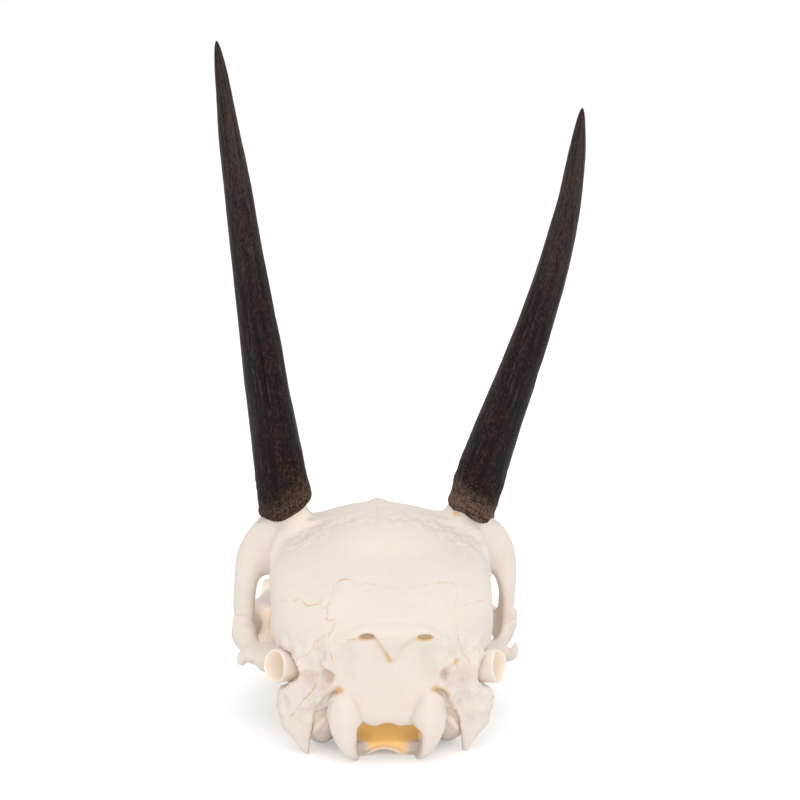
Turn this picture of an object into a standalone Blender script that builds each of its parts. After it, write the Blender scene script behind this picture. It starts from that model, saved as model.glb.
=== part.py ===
"""A steenbok's skull without its lower jaw, life size, as it rests on a table.

The skull stands on its cheek teeth and on the tips of its two paroccipital processes.
It faces +Y, the animal's right side is at +X, and the floor is z = 0.

The bones are forms that run into each other, with hollows sunk into them, which no primitive
or modifier gives. So each form is a distance function, forms are blended on a grid of points,
and the skin is drawn where the blend is zero. The cranium is modelled whole and parted into
its bones along the sutures. Horns, teeth and ear tubes are curves and primitives with modifiers.
"""

import math
from dataclasses import dataclass

import bmesh
import bpy
import numpy as np
from mathutils import Matrix, Vector

# Driving dimensions, in millimetres: x from the mid line, y forward from the rearmost
# point of the condyles, z up from the floor
SKULL_LENGTH = 138.0
BRAINCASE_HALF_WIDTH = 27.8
TOOTH_HEIGHT = 9.0
TOOTH_ROOT = 3.0
HORN_BASE_RADIUS = 6.1
HORN_FOOT_SWELL = 0.85
HORN_SWELL_REACH = 0.25

# The left cheek stands a little further out than the right one
CHEEK_SPREAD = {-1: -1.0, 1: 0.97}

METRES = 0.001
GRID_STEP = 0.8
SKIN_STEP = 0.7
SUTURE_GAP = 0.4
FAR = 50.0

# The horns spread unevenly, so the middle of the whole model is not the middle of the skull
MODEL_CENTRE = (4.45, SKULL_LENGTH / 2)

BONE_COLOUR = (0.86, 0.78, 0.68, 1.0)
HORN_COLOUR = (0.022, 0.016, 0.013, 1.0)

# The ear capsule under the braincase, and the open bony tube that leads to it
CAPSULE_AT = (15.8, 19.6, 7.8)
CAPSULE_RADII = (5.2, 8.4, 7.2)
EAR_TUBE_STARTS = {-1: (20.4, 20.6, 20.8), 1: (20.8, 19.6, 19.7)}
EAR_TUBE_MOUTHS = {-1: (27.2, 15.5, 21.6), 1: (28.3, 15.5, 20.6)}
EAR_TUBE_RADIUS = 4.2
EAR_TUBE_WALL = 0.8
EAR_NECK_LOW = (16.4, 20.2, 9.0)
EAR_NECK_HIGH = (20.4, 20.8, 20.0)
EAR_NECK_RADII = (4.2, 3.2)
EAR_SOCKET_PLAY = 0.4

# How far the bony core under a horn reaches round its foot
HORN_CORE_REACH = 8.2


@dataclass
class Horn:
    """One horn sheath: its foot on the bony core, its tip, its bow and the slant of its foot.

    The sway bends it outward above its middle and inward below.
    """

    name: str
    foot: tuple
    tip: tuple
    bow: tuple
    slant: tuple
    sway: float


HORNS = {
    -1: Horn("horn_left", (-23.4, 50.4, 53.2), (-39.9, 25.0, 175.5), (-0.3, -2.6), (0.62, 0.16),
             0.0),
    1: Horn("horn_right", (23.9, 50.4, 52.8), (48.2, 20.0, 159.3), (3.2, -2.6), (-0.70, 0.16),
            0.9),
}

# Braincase: y, half width, height of the widest point, top, bottom, squareness of the top
BRAINCASE_RUN = (
    (1.0, 15.0, 19.0, 30.5, 7.0, 2.6),
    (7.0, 21.5, 21.0, 34.6, 7.0, 2.5),
    (14.0, 25.3, 25.0, 38.8, 7.5, 2.5),
    (21.0, 27.3, 30.0, 42.2, 8.5, 2.6),
    (29.0, BRAINCASE_HALF_WIDTH, 34.5, 45.4, 10.0, 2.9),
    (37.0, 27.8, 36.5, 48.2, 12.0, 3.3),
    (44.0, 26.6, 37.0, 50.8, 14.0, 3.6),
    (51.0, 22.5, 37.5, 52.6, 15.5, 3.0),
    (58.0, 15.0, 36.0, 52.4, 16.5, 2.6),
    (66.0, 11.0, 34.0, 49.0, 15.5, 2.6),
    (74.0, 12.5, 30.0, 46.0, 13.0, 2.6),
)
# Forehead shelf, in the same terms
FOREHEAD_RUN = (
    (44.0, 27.0, 42.0, 48.6, 38.0, 2.6),
    (49.0, 29.0, 44.0, 49.8, 39.0, 2.6),
    (55.0, 29.0, 44.6, 50.2, 41.0, 2.7),
    (61.0, 27.4, 44.6, 49.8, 41.0, 2.7),
    (68.0, 25.4, 42.5, 48.2, 37.0, 2.6),
    (76.0, 24.4, 39.0, 45.9, 31.0, 2.5),
    (84.0, 20.5, 35.0, 43.4, 26.0, 2.4),
)
# Muzzle, in the same terms
MUZZLE_RUN = (
    (64.0, 17.0, 18.0, 24.0, 9.5, 2.6),
    (70.0, 21.0, 21.0, 34.0, 9.5, 2.6),
    (75.0, 24.4, 27.0, 44.6, 9.5, 2.7),
    (80.0, 24.4, 27.0, 44.4, 9.5, 2.5),
    (85.0, 21.4, 23.0, 42.8, 9.2, 2.3),
    (90.0, 18.6, 20.0, 40.8, 9.0, 2.3),
    (97.0, 15.6, 17.5, 38.0, 8.6, 2.7),
    (104.0, 12.4, 16.0, 35.2, 8.2, 3.2),
    (112.0, 9.9, 14.5, 32.0, 7.2, 3.2),
    (120.0, 8.6, 12.5, 28.6, 5.6, 3.0),
    (128.0, 7.4, 9.5, 19.5, 4.0, 2.5),
    (134.0, 6.6, 6.5, 11.0, 2.8, 2.4),
    (SKULL_LENGTH, 4.6, 4.6, 6.6, 2.4, 2.2),
)
# Rim of the right orbit, once round from its top
ORBIT_RIM = (
    (26.5, 61.0, 49.8),
    (30.2, 54.0, 47.4),
    (33.0, 49.5, 43.6),
    (34.4, 47.2, 38.0),
    (34.8, 46.6, 32.0),
    (35.0, 48.4, 26.4),
    (34.7, 53.5, 22.4),
    (33.7, 60.0, 21.0),
    (31.8, 67.0, 20.8),
    (28.4, 73.6, 21.4),
    (25.4, 77.6, 27.4),
    (24.0, 77.4, 36.0),
    (23.6, 72.6, 45.8),
    (24.6, 67.4, 49.0),
)
# Teeth of the right row, front to back: x, y, width, length, number of lobes, turn in degrees
CHEEK_TEETH = (
    (12.9, 95.5, 4.6, 5.6, 1, 9.0),
    (14.2, 89.4, 5.6, 6.0, 1, 9.0),
    (15.6, 83.0, 6.8, 6.2, 1, 9.0),
    (17.2, 75.8, 8.0, 7.8, 2, 4.0),
    (18.4, 67.8, 8.6, 8.2, 2, 4.0),
    (18.8, 59.4, 8.2, 8.4, 2, 4.0),
)
LOBE_OVERLAP = 1.04


def mirrored(point, side):
    """The point on the right side, or its mirror image on the left, where side is -1."""
    return (point[0] * side, point[1], point[2])


def through(run, column, y):
    """Smooth curve through one column of a run of sections, read at y."""
    ys = np.array([row[0] for row in run])
    values = np.array([row[column] for row in run])
    slopes = np.gradient(values, ys)
    place = np.clip(y, ys[0], ys[-1])
    i = np.clip(np.searchsorted(ys, place) - 1, 0, len(ys) - 2)
    width = ys[i + 1] - ys[i]
    t = (place - ys[i]) / width
    start = values[i] * (1 + 2 * t) * (1 - t) ** 2 + slopes[i] * width * t * (1 - t) ** 2
    end = values[i + 1] * t * t * (3 - 2 * t) - slopes[i + 1] * width * t * t * (1 - t)
    return start + end


def smooth_path(points, closed=False, steps=4):
    """Points along a Catmull-Rom curve through the given points, any columns with them."""
    corners = np.array(points, dtype=float)
    if closed:
        ring = np.vstack([corners[-1:], corners, corners[:2]])
    else:
        ring = np.vstack([2 * corners[0] - corners[1], corners, 2 * corners[-1] - corners[-2]])
    pieces = []
    for a, b, c, d in zip(ring[:-3], ring[1:-2], ring[2:-1], ring[3:]):
        for t in np.arange(steps) / steps:
            pieces.append(b + 0.5 * t * (c - a + t * (2 * a - 5 * b + 4 * c - d
                                                       + t * (3 * (b - c) + d - a))))
    pieces.append(ring[-2])
    return np.array(pieces)


class Ball:
    """An ellipsoid: at its centre, with three radii, turned by degrees about x, y and z."""

    def __init__(self, at, radii, turn=(0.0, 0.0, 0.0)):
        self.at = np.array(at)
        self.radii = np.array(radii)
        angles = [math.radians(angle) for angle in turn]
        turned = Matrix.Rotation(angles[2], 3, "Z") @ Matrix.Rotation(angles[1], 3, "Y")
        self.axes = np.array(turned @ Matrix.Rotation(angles[0], 3, "X"))
        reach = np.sqrt(((self.axes * self.radii) ** 2).sum(axis=1))
        self.box = (self.at - reach, self.at + reach)

    def distance(self, x, y, z):
        """Distance to the ellipsoid, from its scaled radius over the slope of that radius."""
        scaled = 0.0
        slope = 0.0
        for column, radius in zip(self.axes.T, self.radii):
            along = ((x - self.at[0]) * column[0] + (y - self.at[1]) * column[1]
                     + (z - self.at[2]) * column[2])
            scaled = scaled + (along / radius) ** 2
            slope = slope + (along / radius ** 2) ** 2
        scaled = np.sqrt(scaled)
        return scaled * (scaled - 1) / np.maximum(np.sqrt(slope), 1e-6)


class Rod:
    """A tapered rod through points (x, y, z, radius), thinner by `flat` times along `face`."""

    def __init__(self, points, closed=False, face=(0.0, 0.0, 1.0), flat=1.0):
        self.points = smooth_path(points, closed)
        self.face = np.array(face) / np.linalg.norm(face)
        self.flat = flat
        places, radii = self.points[:, :3], self.points[:, 3:]
        self.box = ((places - radii).min(axis=0), (places + radii).max(axis=0))

    def distance(self, x, y, z):
        """Least distance to the straight pieces of the rod, each with a changing radius."""
        least = FAR
        for start, end in zip(self.points[:-1], self.points[1:]):
            run = end[:3] - start[:3]
            ahead = (x - start[0], y - start[1], z - start[2])
            along = ahead[0] * run[0] + ahead[1] * run[1] + ahead[2] * run[2]
            t = np.clip(along / max(run @ run, 1e-9), 0, 1)
            aside = [step - t * part for step, part in zip(ahead, run)]
            rise = (self.flat - 1) * (aside[0] * self.face[0] + aside[1] * self.face[1]
                                      + aside[2] * self.face[2])
            pressed = [part + rise * axis for part, axis in zip(aside, self.face)]
            length = np.sqrt(sum(part ** 2 for part in pressed)) + 1e-6
            again = (self.flat - 1) * sum(part * axis for part, axis in zip(pressed, self.face))
            steep = np.sqrt(sum((part + again * axis) ** 2
                                for part, axis in zip(pressed, self.face))) + 1e-6
            radius = start[3] + t * (end[3] - start[3])
            least = np.minimum(least, (length - radius) * length / steep)
        return least


class Loft:
    """Rounded sections along y, each rounder or squarer, cut off at the first and last y."""

    def __init__(self, run, under=2.2):
        self.run = run
        self.under = under
        widest = max(row[1] for row in run)
        self.box = (np.array([-widest, run[0][0], min(row[4] for row in run)]),
                    np.array([widest, run[-1][0], max(row[3] for row in run)]))

    def distance(self, x, y, z):
        """Distance to the section at y, a superellipse, never less than to the two ends."""
        half, level, top, bottom, square = (through(self.run, c, y) for c in range(1, 6))
        upper = z > level
        height = np.where(upper, top - level, level - bottom)
        power = np.where(upper, square, self.under)
        a = np.abs(x) / half + 1e-6
        b = np.abs(z - level) / height + 1e-6
        size = (a ** power + b ** power) ** (1 / power)
        steep = np.hypot((a / size) ** (power - 1) / half, (b / size) ** (power - 1) / height)
        ends = np.maximum(self.run[0][0] - y, y - self.run[-1][0])
        return np.maximum((size - 1) / steep, ends)


def soft_least(a, b, blend):
    """The lesser of two distances, rounded where they differ by less than the blend."""
    near = np.maximum(blend - np.abs(a - b), 0)
    return np.minimum(a, b) - near ** 2 / (4 * max(blend, 1e-6))


class Above:
    """What lies above a slanting plane, inside an upright cylinder of a given reach."""

    def __init__(self, at, slant, reach):
        self.at = np.array(at)
        self.slant = slant
        self.box = (self.at - reach, self.at + reach * np.array([1.0, 1.0, 1.6]))

    def distance(self, x, y, z):
        """Distance below the plane, never less than the distance to the cylinder."""
        rise = z - self.at[2] - self.slant[0] * (x - self.at[0]) - self.slant[1] * (y - self.at[1])
        aside = np.hypot(x - self.at[0], y - self.at[1]) - (self.box[1] - self.at)[0]
        return np.maximum(-rise / math.hypot(1, *self.slant), aside)


class Clay:
    """Space round the skull, with the distance to the bone at each grid point."""

    def __init__(self, low, high, step):
        self.low = np.array(low)
        self.step = step
        counts = np.ceil((np.array(high) - self.low) / step).astype(int) + 1
        self.lines = [start + step * np.arange(n) for start, n in zip(low, counts)]
        self.depth = np.full(counts, FAR)

    def window(self, box, spare):
        """The part of the grid that a box reaches, and x, y and z there."""
        spans = []
        for line, low, high in zip(self.lines, *box):
            spans.append(slice(*np.searchsorted(line, (low - spare, high + spare))))
        x, y, z = (line[span] for line, span in zip(self.lines, spans))
        return tuple(spans), (x[:, None, None], y[None, :, None], z[None, None, :])

    def add(self, form, blend=1.0):
        """Adds a form and rounds the corner where it meets what is there."""
        spans, places = self.window(form.box, blend + 2 * self.step)
        self.depth[spans] = soft_least(self.depth[spans], form.distance(*places), blend)

    def cut(self, form, blend=1.0):
        """Sinks a form into what is there and rounds the edge."""
        spans, places = self.window(form.box, blend + 2 * self.step)
        self.depth[spans] = -soft_least(-self.depth[spans], form.distance(*places), blend)

    def trim(self, distance, blend=1.0):
        """Keeps what lies where a distance function of x, y and z is negative."""
        x, y, z = self.lines
        beyond = distance(x[:, None, None], y[None, :, None], z[None, None, :])
        self.depth = -soft_least(-self.depth, -beyond, blend)


def skin(depth, low, step):
    """Quads where the depth is zero: one corner in each grid cell that the surface crosses."""
    inside = depth < 0
    cells = tuple(n - 1 for n in depth.shape)
    corners = [(i, j, k) for i in (0, 1) for j in (0, 1) for k in (0, 1)]
    filled = sum(inside[i:i + cells[0], j:j + cells[1], k:k + cells[2]].astype(np.int8)
                 for i, j, k in corners)
    crossed = np.argwhere((filled > 0) & (filled < 8))
    value = {c: depth[tuple((crossed + c).T)] for c in corners}
    total = np.zeros((len(crossed), 3))
    count = np.zeros(len(crossed))
    for start in corners:
        for axis in range(3):
            if start[axis]:
                continue
            end = tuple(1 if i == axis else start[i] for i in range(3))
            a, b = value[start], value[end]
            cuts = (a < 0) != (b < 0)
            t = np.where(cuts, a / np.where(cuts, a - b, 1), 0)
            place = np.array(start) + t[:, None] * (np.array(end) - np.array(start))
            total += place * cuts[:, None]
            count += cuts
    points = np.array(low) + step * (crossed + total / count[:, None])
    number = np.full(cells, -1)
    number[tuple(crossed.T)] = np.arange(len(crossed))
    faces = []
    for axis in range(3):
        first, second = (axis + 1) % 3, (axis + 2) % 3
        before = inside.take(range(cells[axis]), axis)
        after = inside.take(range(1, cells[axis] + 1), axis)
        for outward in (True, False):
            edges = np.argwhere((before & ~after) if outward else (after & ~before))
            ring = []
            for shift_first, shift_second in ((1, 1), (0, 1), (0, 0), (1, 0)):
                cell = edges.copy()
                cell[:, first] -= shift_first
                cell[:, second] -= shift_second
                ring.append(number[tuple(cell.T)])
            quads = np.stack(ring, axis=1)
            faces.append(quads if outward else quads[:, ::-1])
    return points, np.vstack(faces)


def model_braincase(clay):
    """Parietals, forehead, occiput and the base of the skull."""
    clay.add(Loft(BRAINCASE_RUN))
    clay.add(Loft(FOREHEAD_RUN), blend=3.0)
    clay.trim(lambda x, y, z: (4.6 + 11.5 * (np.abs(x) / 26.0) ** 2.6 - y) * 0.92, blend=2.0)
    clay.add(Ball((0.0, 49.0, 42.0), (24.0, 20.0, 11.3)), blend=2.0)
    clay.add(Ball((0.4, 53.5, 52.4), (2.2, 3.0, 2.2)), blend=2.4)
    ridge = [(x, 47.0 - 4.4 * (x / 27.0) ** 2, 51.7 - 4.6 * (x / 27.0) ** 2, 1.1)
             for x in np.linspace(-25.0, 25.0, 9)]
    clay.add(Rod(ridge), blend=2.0)
    crest = ((-14.0, 7.2, 27.0, 1.4), (-10.5, 5.2, 31.3, 1.4), (-5.0, 4.0, 33.0, 1.6),
             (0.6, 3.8, 31.8, 1.6), (8.6, 4.0, 32.6, 1.6), (12.5, 5.4, 30.4, 1.4),
             (15.6, 7.6, 26.5, 1.4))
    clay.add(Rod(crest), blend=2.4)
    clay.add(Rod(((0.6, 4.4, 31.0, 3.2), (0.7, 4.6, 26.6, 1.2))), blend=2.0)
    clay.add(Rod(((0.3, 15.6, 4.6, 6.6), (0.0, 24.0, 7.9, 6.4), (0.0, 31.0, 10.6, 6.0)),
                 face=(0.0, -0.38, 1.0), flat=5.0), blend=1.2)
    clay.add(Rod(((0.0, 19.0, 7.8, 3.6), (0.0, 34.0, 12.4, 4.6), (0.0, 52.0, 16.5, 4.4))),
             blend=4.0)
    for side in (-1, 1):
        model_side_of_braincase(clay, side)


def model_side_of_braincase(clay, side):
    """Horn core, temporal corner, mastoid, paroccipital process and condyle of one side."""
    def rod(points, blend, **shape):
        clay.add(Rod([(*mirrored(p, side), p[3]) for p in points], **shape), blend)

    rod(((22.8, 51.8, 44.0, 7.0), (23.2, 51.0, 49.0, 6.2), (23.4, 50.0, 60.0, 5.8)), 3.0)
    clay.add(Ball(mirrored((26.2, 41.4, 45.2), side), (2.0, 3.2, 2.4)), blend=2.4)
    rod(((19.6, 11.0, 22.0, 4.0), (21.6, 13.2, 15.0, 4.0), (22.6, 13.0, 8.4, 3.3),
         (21.2, 11.6, 4.0, 1.9), (19.9, 11.0, 0.4, 0.9)), 2.5, face=(0.0, 1.0, 0.0), flat=1.25)
    rod(((21.4, 14.6, 24.6, 2.6), (24.4, 16.8, 15.0, 1.8), (24.6, 15.6, 8.0, 1.4)), 2.5)
    clay.add(Ball(mirrored((11.3, 4.6, 9.4), side), (3.7, 4.6, 9.2), (0.0, 14.0 * side, 0.0)),
             blend=1.5)
    clay.add(Ball(mirrored((11.0, 8.4, 6.4), side), (3.6, 6.0, 5.2)), blend=2.0)


def model_cheeks(clay, side):
    """Postorbital bar, orbit rim, cheek arch and jaw hinge of one side."""
    spread = CHEEK_SPREAD[side]

    def rod(points, blend, **shape):
        clay.add(Rod([(x * spread, y, z, radius) for x, y, z, radius in points], **shape), blend)

    def ball(at, radii, blend):
        clay.add(Ball((at[0] * spread, at[1], at[2]), radii), blend)

    rod([(*point, 1.7) for point in ORBIT_RIM], 2.0, closed=True)
    rod(((29.0, 50.5, 46.0, 3.2), (32.6, 47.6, 41.0, 3.2), (33.6, 45.8, 34.0, 3.0),
         (34.0, 45.2, 27.0, 3.0)), 2.5)
    ball((29.4, 47.0, 43.2), (5.4, 2.6, 7.2), 2.5)
    rod(((27.0, 35.0, 18.4, 2.6), (32.0, 38.0, 18.6, 2.6), (34.2, 43.0, 21.4, 2.8)), 3.0)
    rod(((34.2, 43.4, 21.8, 3.0), (34.0, 51.0, 20.6, 3.2), (32.8, 60.0, 19.4, 3.4),
         (29.8, 68.0, 19.2, 3.8), (25.0, 77.0, 20.0, 3.4)), 3.0)
    ball((25.4, 69.0, 16.6), (8.4, 9.5, 7.6), 3.0)
    ball((28.4, 35.0, 17.4), (6.4, 5.2, 2.6), 3.0)
    ball((27.6, 31.6, 15.8), (4.6, 1.9, 2.6), 1.6)
    ball((33.2, 35.0, 17.0), (2.0, 2.4, 2.4), 1.6)


def model_muzzle(clay):
    """Upper jaws, nose and palate, with the hollow fields in front of the orbits."""
    clay.add(Loft(MUZZLE_RUN, under=2.8), blend=3.0)
    for side in (-1, 1):
        row = [(x * side, y, 13.0, width / 2 + 1.0) for x, y, width, *_ in CHEEK_TEETH]
        clay.add(Rod(row), blend=2.5)


def hollow_skull(clay):
    """Orbits, temporal fossae, nose, palate, throat and the opening for the spinal cord."""
    for side in (-1, 1):
        clay.cut(Ball(mirrored((28.0, 62.6, 35.4), side), (17.4, 14.4, 11.4),
                      (0.0, 0.0, -14.0 * side)), blend=1.6)
        clay.cut(Ball(mirrored((28.7, 42.0, 28.4), side), (3.2, 9.0, 8.8)), blend=1.6)
        clay.cut(Ball(mirrored((27.5, 48.0, 12.0), side), (8.6, 11.0, 7.4)), blend=2.0)
        clay.cut(Ball(mirrored((24.0, 88.0, 31.0), side), (5.2, 8.0, 7.6),
                      (0.0, 0.0, 20.0 * side)), blend=2.5)
        clay.cut(Rod([(*mirrored(p, side), p[3]) for p in (
            (2.6, 114.0, 5.0, 1.2), (2.9, 122.0, 3.6, 1.3), (2.6, 129.0, 3.0, 0.9))]), blend=0.8)
    clay.cut(Rod(((0.0, 56.0, 4.0, 7.0), (0.0, 78.0, 4.6, 8.6), (0.0, 96.0, 5.0, 7.0),
                  (0.0, 112.0, 3.2, 4.0))), blend=1.8)
    clay.cut(Rod(((0.0, 44.0, 7.0, 4.2), (0.0, 54.0, 10.0, 4.4), (0.0, 66.0, 13.5, 4.0))),
             blend=1.2)
    clay.cut(Rod(((0.0, 94.0, 25.0, 6.0), (0.0, 106.0, 23.0, 6.4), (0.0, 118.0, 18.0, 6.2),
                  (0.0, 128.0, 13.6, 5.6), (0.0, 136.0, 9.6, 4.4), (0.0, 146.0, 8.0, 4.4))),
             blend=0.8)
    for x, height in ((-4.4, 4.7), (-4.1, 6.1), (0.3, 5.4), (4.7, 6.1), (5.0, 4.7)):
        clay.cut(Rod(((x, -6.0, height, 3.3), (x, 6.0, height + 0.4, 3.3),
                      (x * 1.15, 14.0, height + 4.4, 3.4))), blend=0.6)
    clay.cut(Ball((0.0, 20.0, 17.0), (9.0, 9.0, 9.0)), blend=0.8)


def model_cranium():
    """The whole cranium on one grid, before it is parted."""
    clay = Clay((-41.0, -2.5, -1.5), (41.0, SKULL_LENGTH + 2.5, 69.0), GRID_STEP)
    model_braincase(clay)
    model_muzzle(clay)
    for side in (-1, 1):
        model_cheeks(clay, side)
    hollow_skull(clay)
    for side, horn in HORNS.items():
        drop = SUTURE_GAP / 2 * math.hypot(1, *horn.slant)
        clay.cut(Above(np.array(horn.foot) - (0.0, 0.0, drop), horn.slant, HORN_CORE_REACH),
                 blend=0.05)
        cut_ear_socket(clay, side)
    return clay


def cut_ear_socket(clay, side):
    """Room for the ear capsule, its neck and the ear tube, with a little play all round."""
    def rod(points, radii):
        clay.cut(Rod([(*mirrored(point, side), radius + EAR_SOCKET_PLAY)
                      for point, radius in zip(points, radii)]), blend=0.4)

    clay.cut(Ball(mirrored(CAPSULE_AT, side), np.array(CAPSULE_RADII) + EAR_SOCKET_PLAY), blend=0.4)
    rod((EAR_TUBE_STARTS[side], EAR_TUBE_MOUTHS[side]), (EAR_TUBE_RADIUS, EAR_TUBE_RADIUS))
    rod((EAR_NECK_LOW, EAR_NECK_HIGH), EAR_NECK_RADII)


# Sutures: each is a plane or two, as a distance that is positive on the named side

def before_face_seam(x, y, z):
    """Positive in front of the plane from the brow down to the throat."""
    return (y - 80.0 + 0.78 * (48.0 - z)) / math.hypot(1, 0.78)


def in_cheekbone(x, y, z):
    """Positive in the cheekbone: outside the jaw, below the bar, before the jaw hinge."""
    outside = (np.abs(x) - 24.5 - 0.5 * (y - 60.0)) / math.hypot(1, 0.5)
    below = (27.2 - 0.75 * (np.abs(x) - 34.5) - z) / math.hypot(1, 0.75)
    ahead = (y - 42.0 - 0.8 * (z - 22.0)) / math.hypot(1, 0.8)
    return np.minimum(np.minimum(outside, below), ahead)


def in_nose(x, y, z):
    """Positive in the two nasal bones: a roof plate with a pointed back end."""
    above = (z - 40.2 + 0.405 * (y - 82.0)) / math.hypot(1, 0.405)
    wedge = (3.0 + 0.62 * (y - 80.0) - np.abs(x)) / math.hypot(1, 0.62)
    return np.minimum(np.minimum(above, wedge), 7.6 - np.abs(x))


def before_lip_seam(x, y, z):
    """Positive in front of the slanting plane between upper jaw and premaxilla."""
    return (y - 106.0 - 0.44 * (31.0 - z)) / math.hypot(1, 0.44)


def bone_regions(x, y, z):
    """For each bone's name, a distance that is positive where the cranium belongs to it."""
    face, cheek = before_face_seam(x, y, z), in_cheekbone(x, y, z)
    nose, lip = np.minimum(in_nose(x, y, z), face), before_lip_seam(x, y, z)
    side = np.minimum
    return {
        "braincase": side(-face, -cheek),
        "face": side(side(side(face, -cheek), -nose), -lip),
        "cheekbone_left": side(cheek, -x),
        "cheekbone_right": side(cheek, x),
        "nasal_left": side(nose, -x),
        "nasal_right": side(nose, x),
        "premaxilla_left": side(side(lip, -nose), -x),
        "premaxilla_right": side(side(lip, -nose), x),
    }


TRIANGLES = {
    "braincase": 6800, "face": 3400, "cheekbone_left": 420, "cheekbone_right": 420,
    "nasal_left": 260, "nasal_right": 260, "premaxilla_left": 420, "premaxilla_right": 420,
}


def material(name, colour, roughness):
    """A plain surface with the part's colour and roughness."""
    made = bpy.data.materials.new(name)
    made.use_nodes = True
    surface = made.node_tree.nodes["Principled BSDF"]
    surface.inputs["Base Color"].default_value = colour
    surface.inputs["Roughness"].default_value = roughness
    surface.inputs["Metallic"].default_value = 0.0
    return made


class Workshop:
    """The collections, the empty that every piece stands under, and the common tool steps."""

    def __init__(self):
        self.parts = bpy.data.collections.new("Steenbok skull")
        self.cutters = bpy.data.collections.new("Cutters")
        for collection in (self.parts, self.cutters):
            bpy.context.scene.collection.children.link(collection)
        self.stand = bpy.data.objects.new("skull_stand_point", None)
        self.stand.location = (-MODEL_CENTRE[0] * METRES, -MODEL_CENTRE[1] * METRES, 0.0)
        self.parts.objects.link(self.stand)
        self.bone = material("bone", BONE_COLOUR, 0.55)
        self.sheath = material("horn", HORN_COLOUR, 0.45)

    def piece(self, name, data, finish=None):
        """A new object under the stand point: a part with a finish, or else a cutter."""
        thing = bpy.data.objects.new(name, data)
        thing.parent = self.stand
        if finish:
            self.parts.objects.link(thing)
            data.materials.append(finish)
        else:
            self.cutters.objects.link(thing)
            thing.hide_render = True
            thing.display_type = "WIRE"
        return thing

    def applied(self, thing):
        """Gives an object the mesh that its modifiers make, or the mesh of a curve."""
        graph = bpy.context.evaluated_depsgraph_get()
        done = bpy.data.meshes.new_from_object(thing.evaluated_get(graph))
        if thing.type == "MESH":
            thing.modifiers.clear()
            thing.data = done
            largest_island(done)
            return thing
        name, finish = thing.name, thing.data.materials[:]
        bpy.data.objects.remove(thing)
        shape = bmesh.new()
        shape.from_mesh(done)
        bmesh.ops.remove_doubles(shape, verts=shape.verts, dist=1e-6)
        shape.to_mesh(done)
        shape.free()
        done.materials.clear()
        return self.piece(name, done, finish[0] if finish else None)

    def combine(self, thing, others, operation):
        """Joins or cuts a mesh object with others, then removes joined pieces."""
        for other in others:
            step = thing.modifiers.new(other.name, "BOOLEAN")
            step.operation = operation
            step.object = other
        self.applied(thing)
        for other in others:
            bpy.data.objects.remove(other)
        return thing


def solid(build):
    """A mesh from a function that fills a bmesh, in millimetres, made metres."""
    shape = bmesh.new()
    build(shape)
    bmesh.ops.scale(shape, vec=(METRES, METRES, METRES), verts=shape.verts)
    mesh = bpy.data.meshes.new("solid")
    shape.to_mesh(mesh)
    shape.free()
    return mesh


def largest_island(mesh):
    """Keeps the largest closed surface of a mesh and drops loose scraps."""
    shape = bmesh.new()
    shape.from_mesh(mesh)
    left = set(shape.verts)
    largest = set()
    while left:
        island, edge = set(), [left.pop()]
        while edge:
            vert = edge.pop()
            island.add(vert)
            for link in vert.link_edges:
                other = link.other_vert(vert)
                if other in left:
                    left.discard(other)
                    edge.append(other)
        if len(island) > len(largest):
            largest = island
    loose = [vert for vert in shape.verts if vert not in largest]
    bmesh.ops.delete(shape, geom=loose, context="VERTS")
    shape.to_mesh(mesh)
    shape.free()


def make_bones(shop):
    """Models the cranium, parts it along its sutures and thins each bone's skin."""
    clay = model_cranium()
    x, y, z = clay.lines
    regions = bone_regions(x[:, None, None], y[None, :, None], z[None, None, :])
    bones = {}
    for name, region in regions.items():
        depth = np.maximum(clay.depth, SUTURE_GAP / 2 - region)
        points, faces = skin(depth, clay.low, clay.step)
        mesh = bpy.data.meshes.new(name)
        mesh.from_pydata(points * METRES, [], faces)
        largest_island(mesh)
        bones[name] = shop.piece(name, mesh, shop.bone)
        closed = bones[name].modifiers.new("One closed skin", "REMESH")
        closed.mode = "VOXEL"
        closed.voxel_size = SKIN_STEP * METRES
        shop.applied(bones[name])
        corners = sum(len(face.vertices) - 2 for face in bones[name].data.polygons)
        thin = bones[name].modifiers.new("Fewer faces on smooth bone", "DECIMATE")
        thin.ratio = min(1.0, TRIANGLES[name] / corners)
        shop.applied(bones[name])
    return bones


def floor_cutter(shop):
    """A block whose top is the floor, to give what rests on it a small flat."""
    def build(shape):
        bmesh.ops.create_cube(shape, size=1.0, matrix=Matrix.LocRotScale(
            Vector((0.0, 60.0, -5.0)), None, Vector((120.0, 180.0, 10.0))))
    return shop.piece("floor", solid(build))


def tooth_lobe(shop, place, size, turn):
    """One lobe of a cheek tooth: a rounded prism, wider at the crown's root than at its top."""
    def build(shape):
        bmesh.ops.create_cone(shape, cap_ends=True, segments=10, radius1=0.47, radius2=0.56,
                              depth=1.0)
        bmesh.ops.transform(shape, verts=shape.verts, matrix=Matrix.LocRotScale(
            Vector(place), Matrix.Rotation(turn, 3, "Z"), Vector(size)))
    return shop.piece("lobe", solid(build))


def add_teeth(shop, face):
    """Sets six cheek teeth of one or two lobes in each jaw and fuses them with it."""
    tall = TOOTH_HEIGHT + TOOTH_ROOT
    lobes = []
    for side in (-1, 1):
        for x, y, width, length, count, turn in CHEEK_TEETH:
            for step in range(count):
                ahead = (step - (count - 1) / 2) * length / count
                lobes.append(tooth_lobe(shop, (x * side, y + ahead, tall / 2),
                                        (width, length / count * LOBE_OVERLAP, tall),
                                        -side * math.radians(turn)))
    shop.combine(face, lobes, "UNION")


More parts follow.
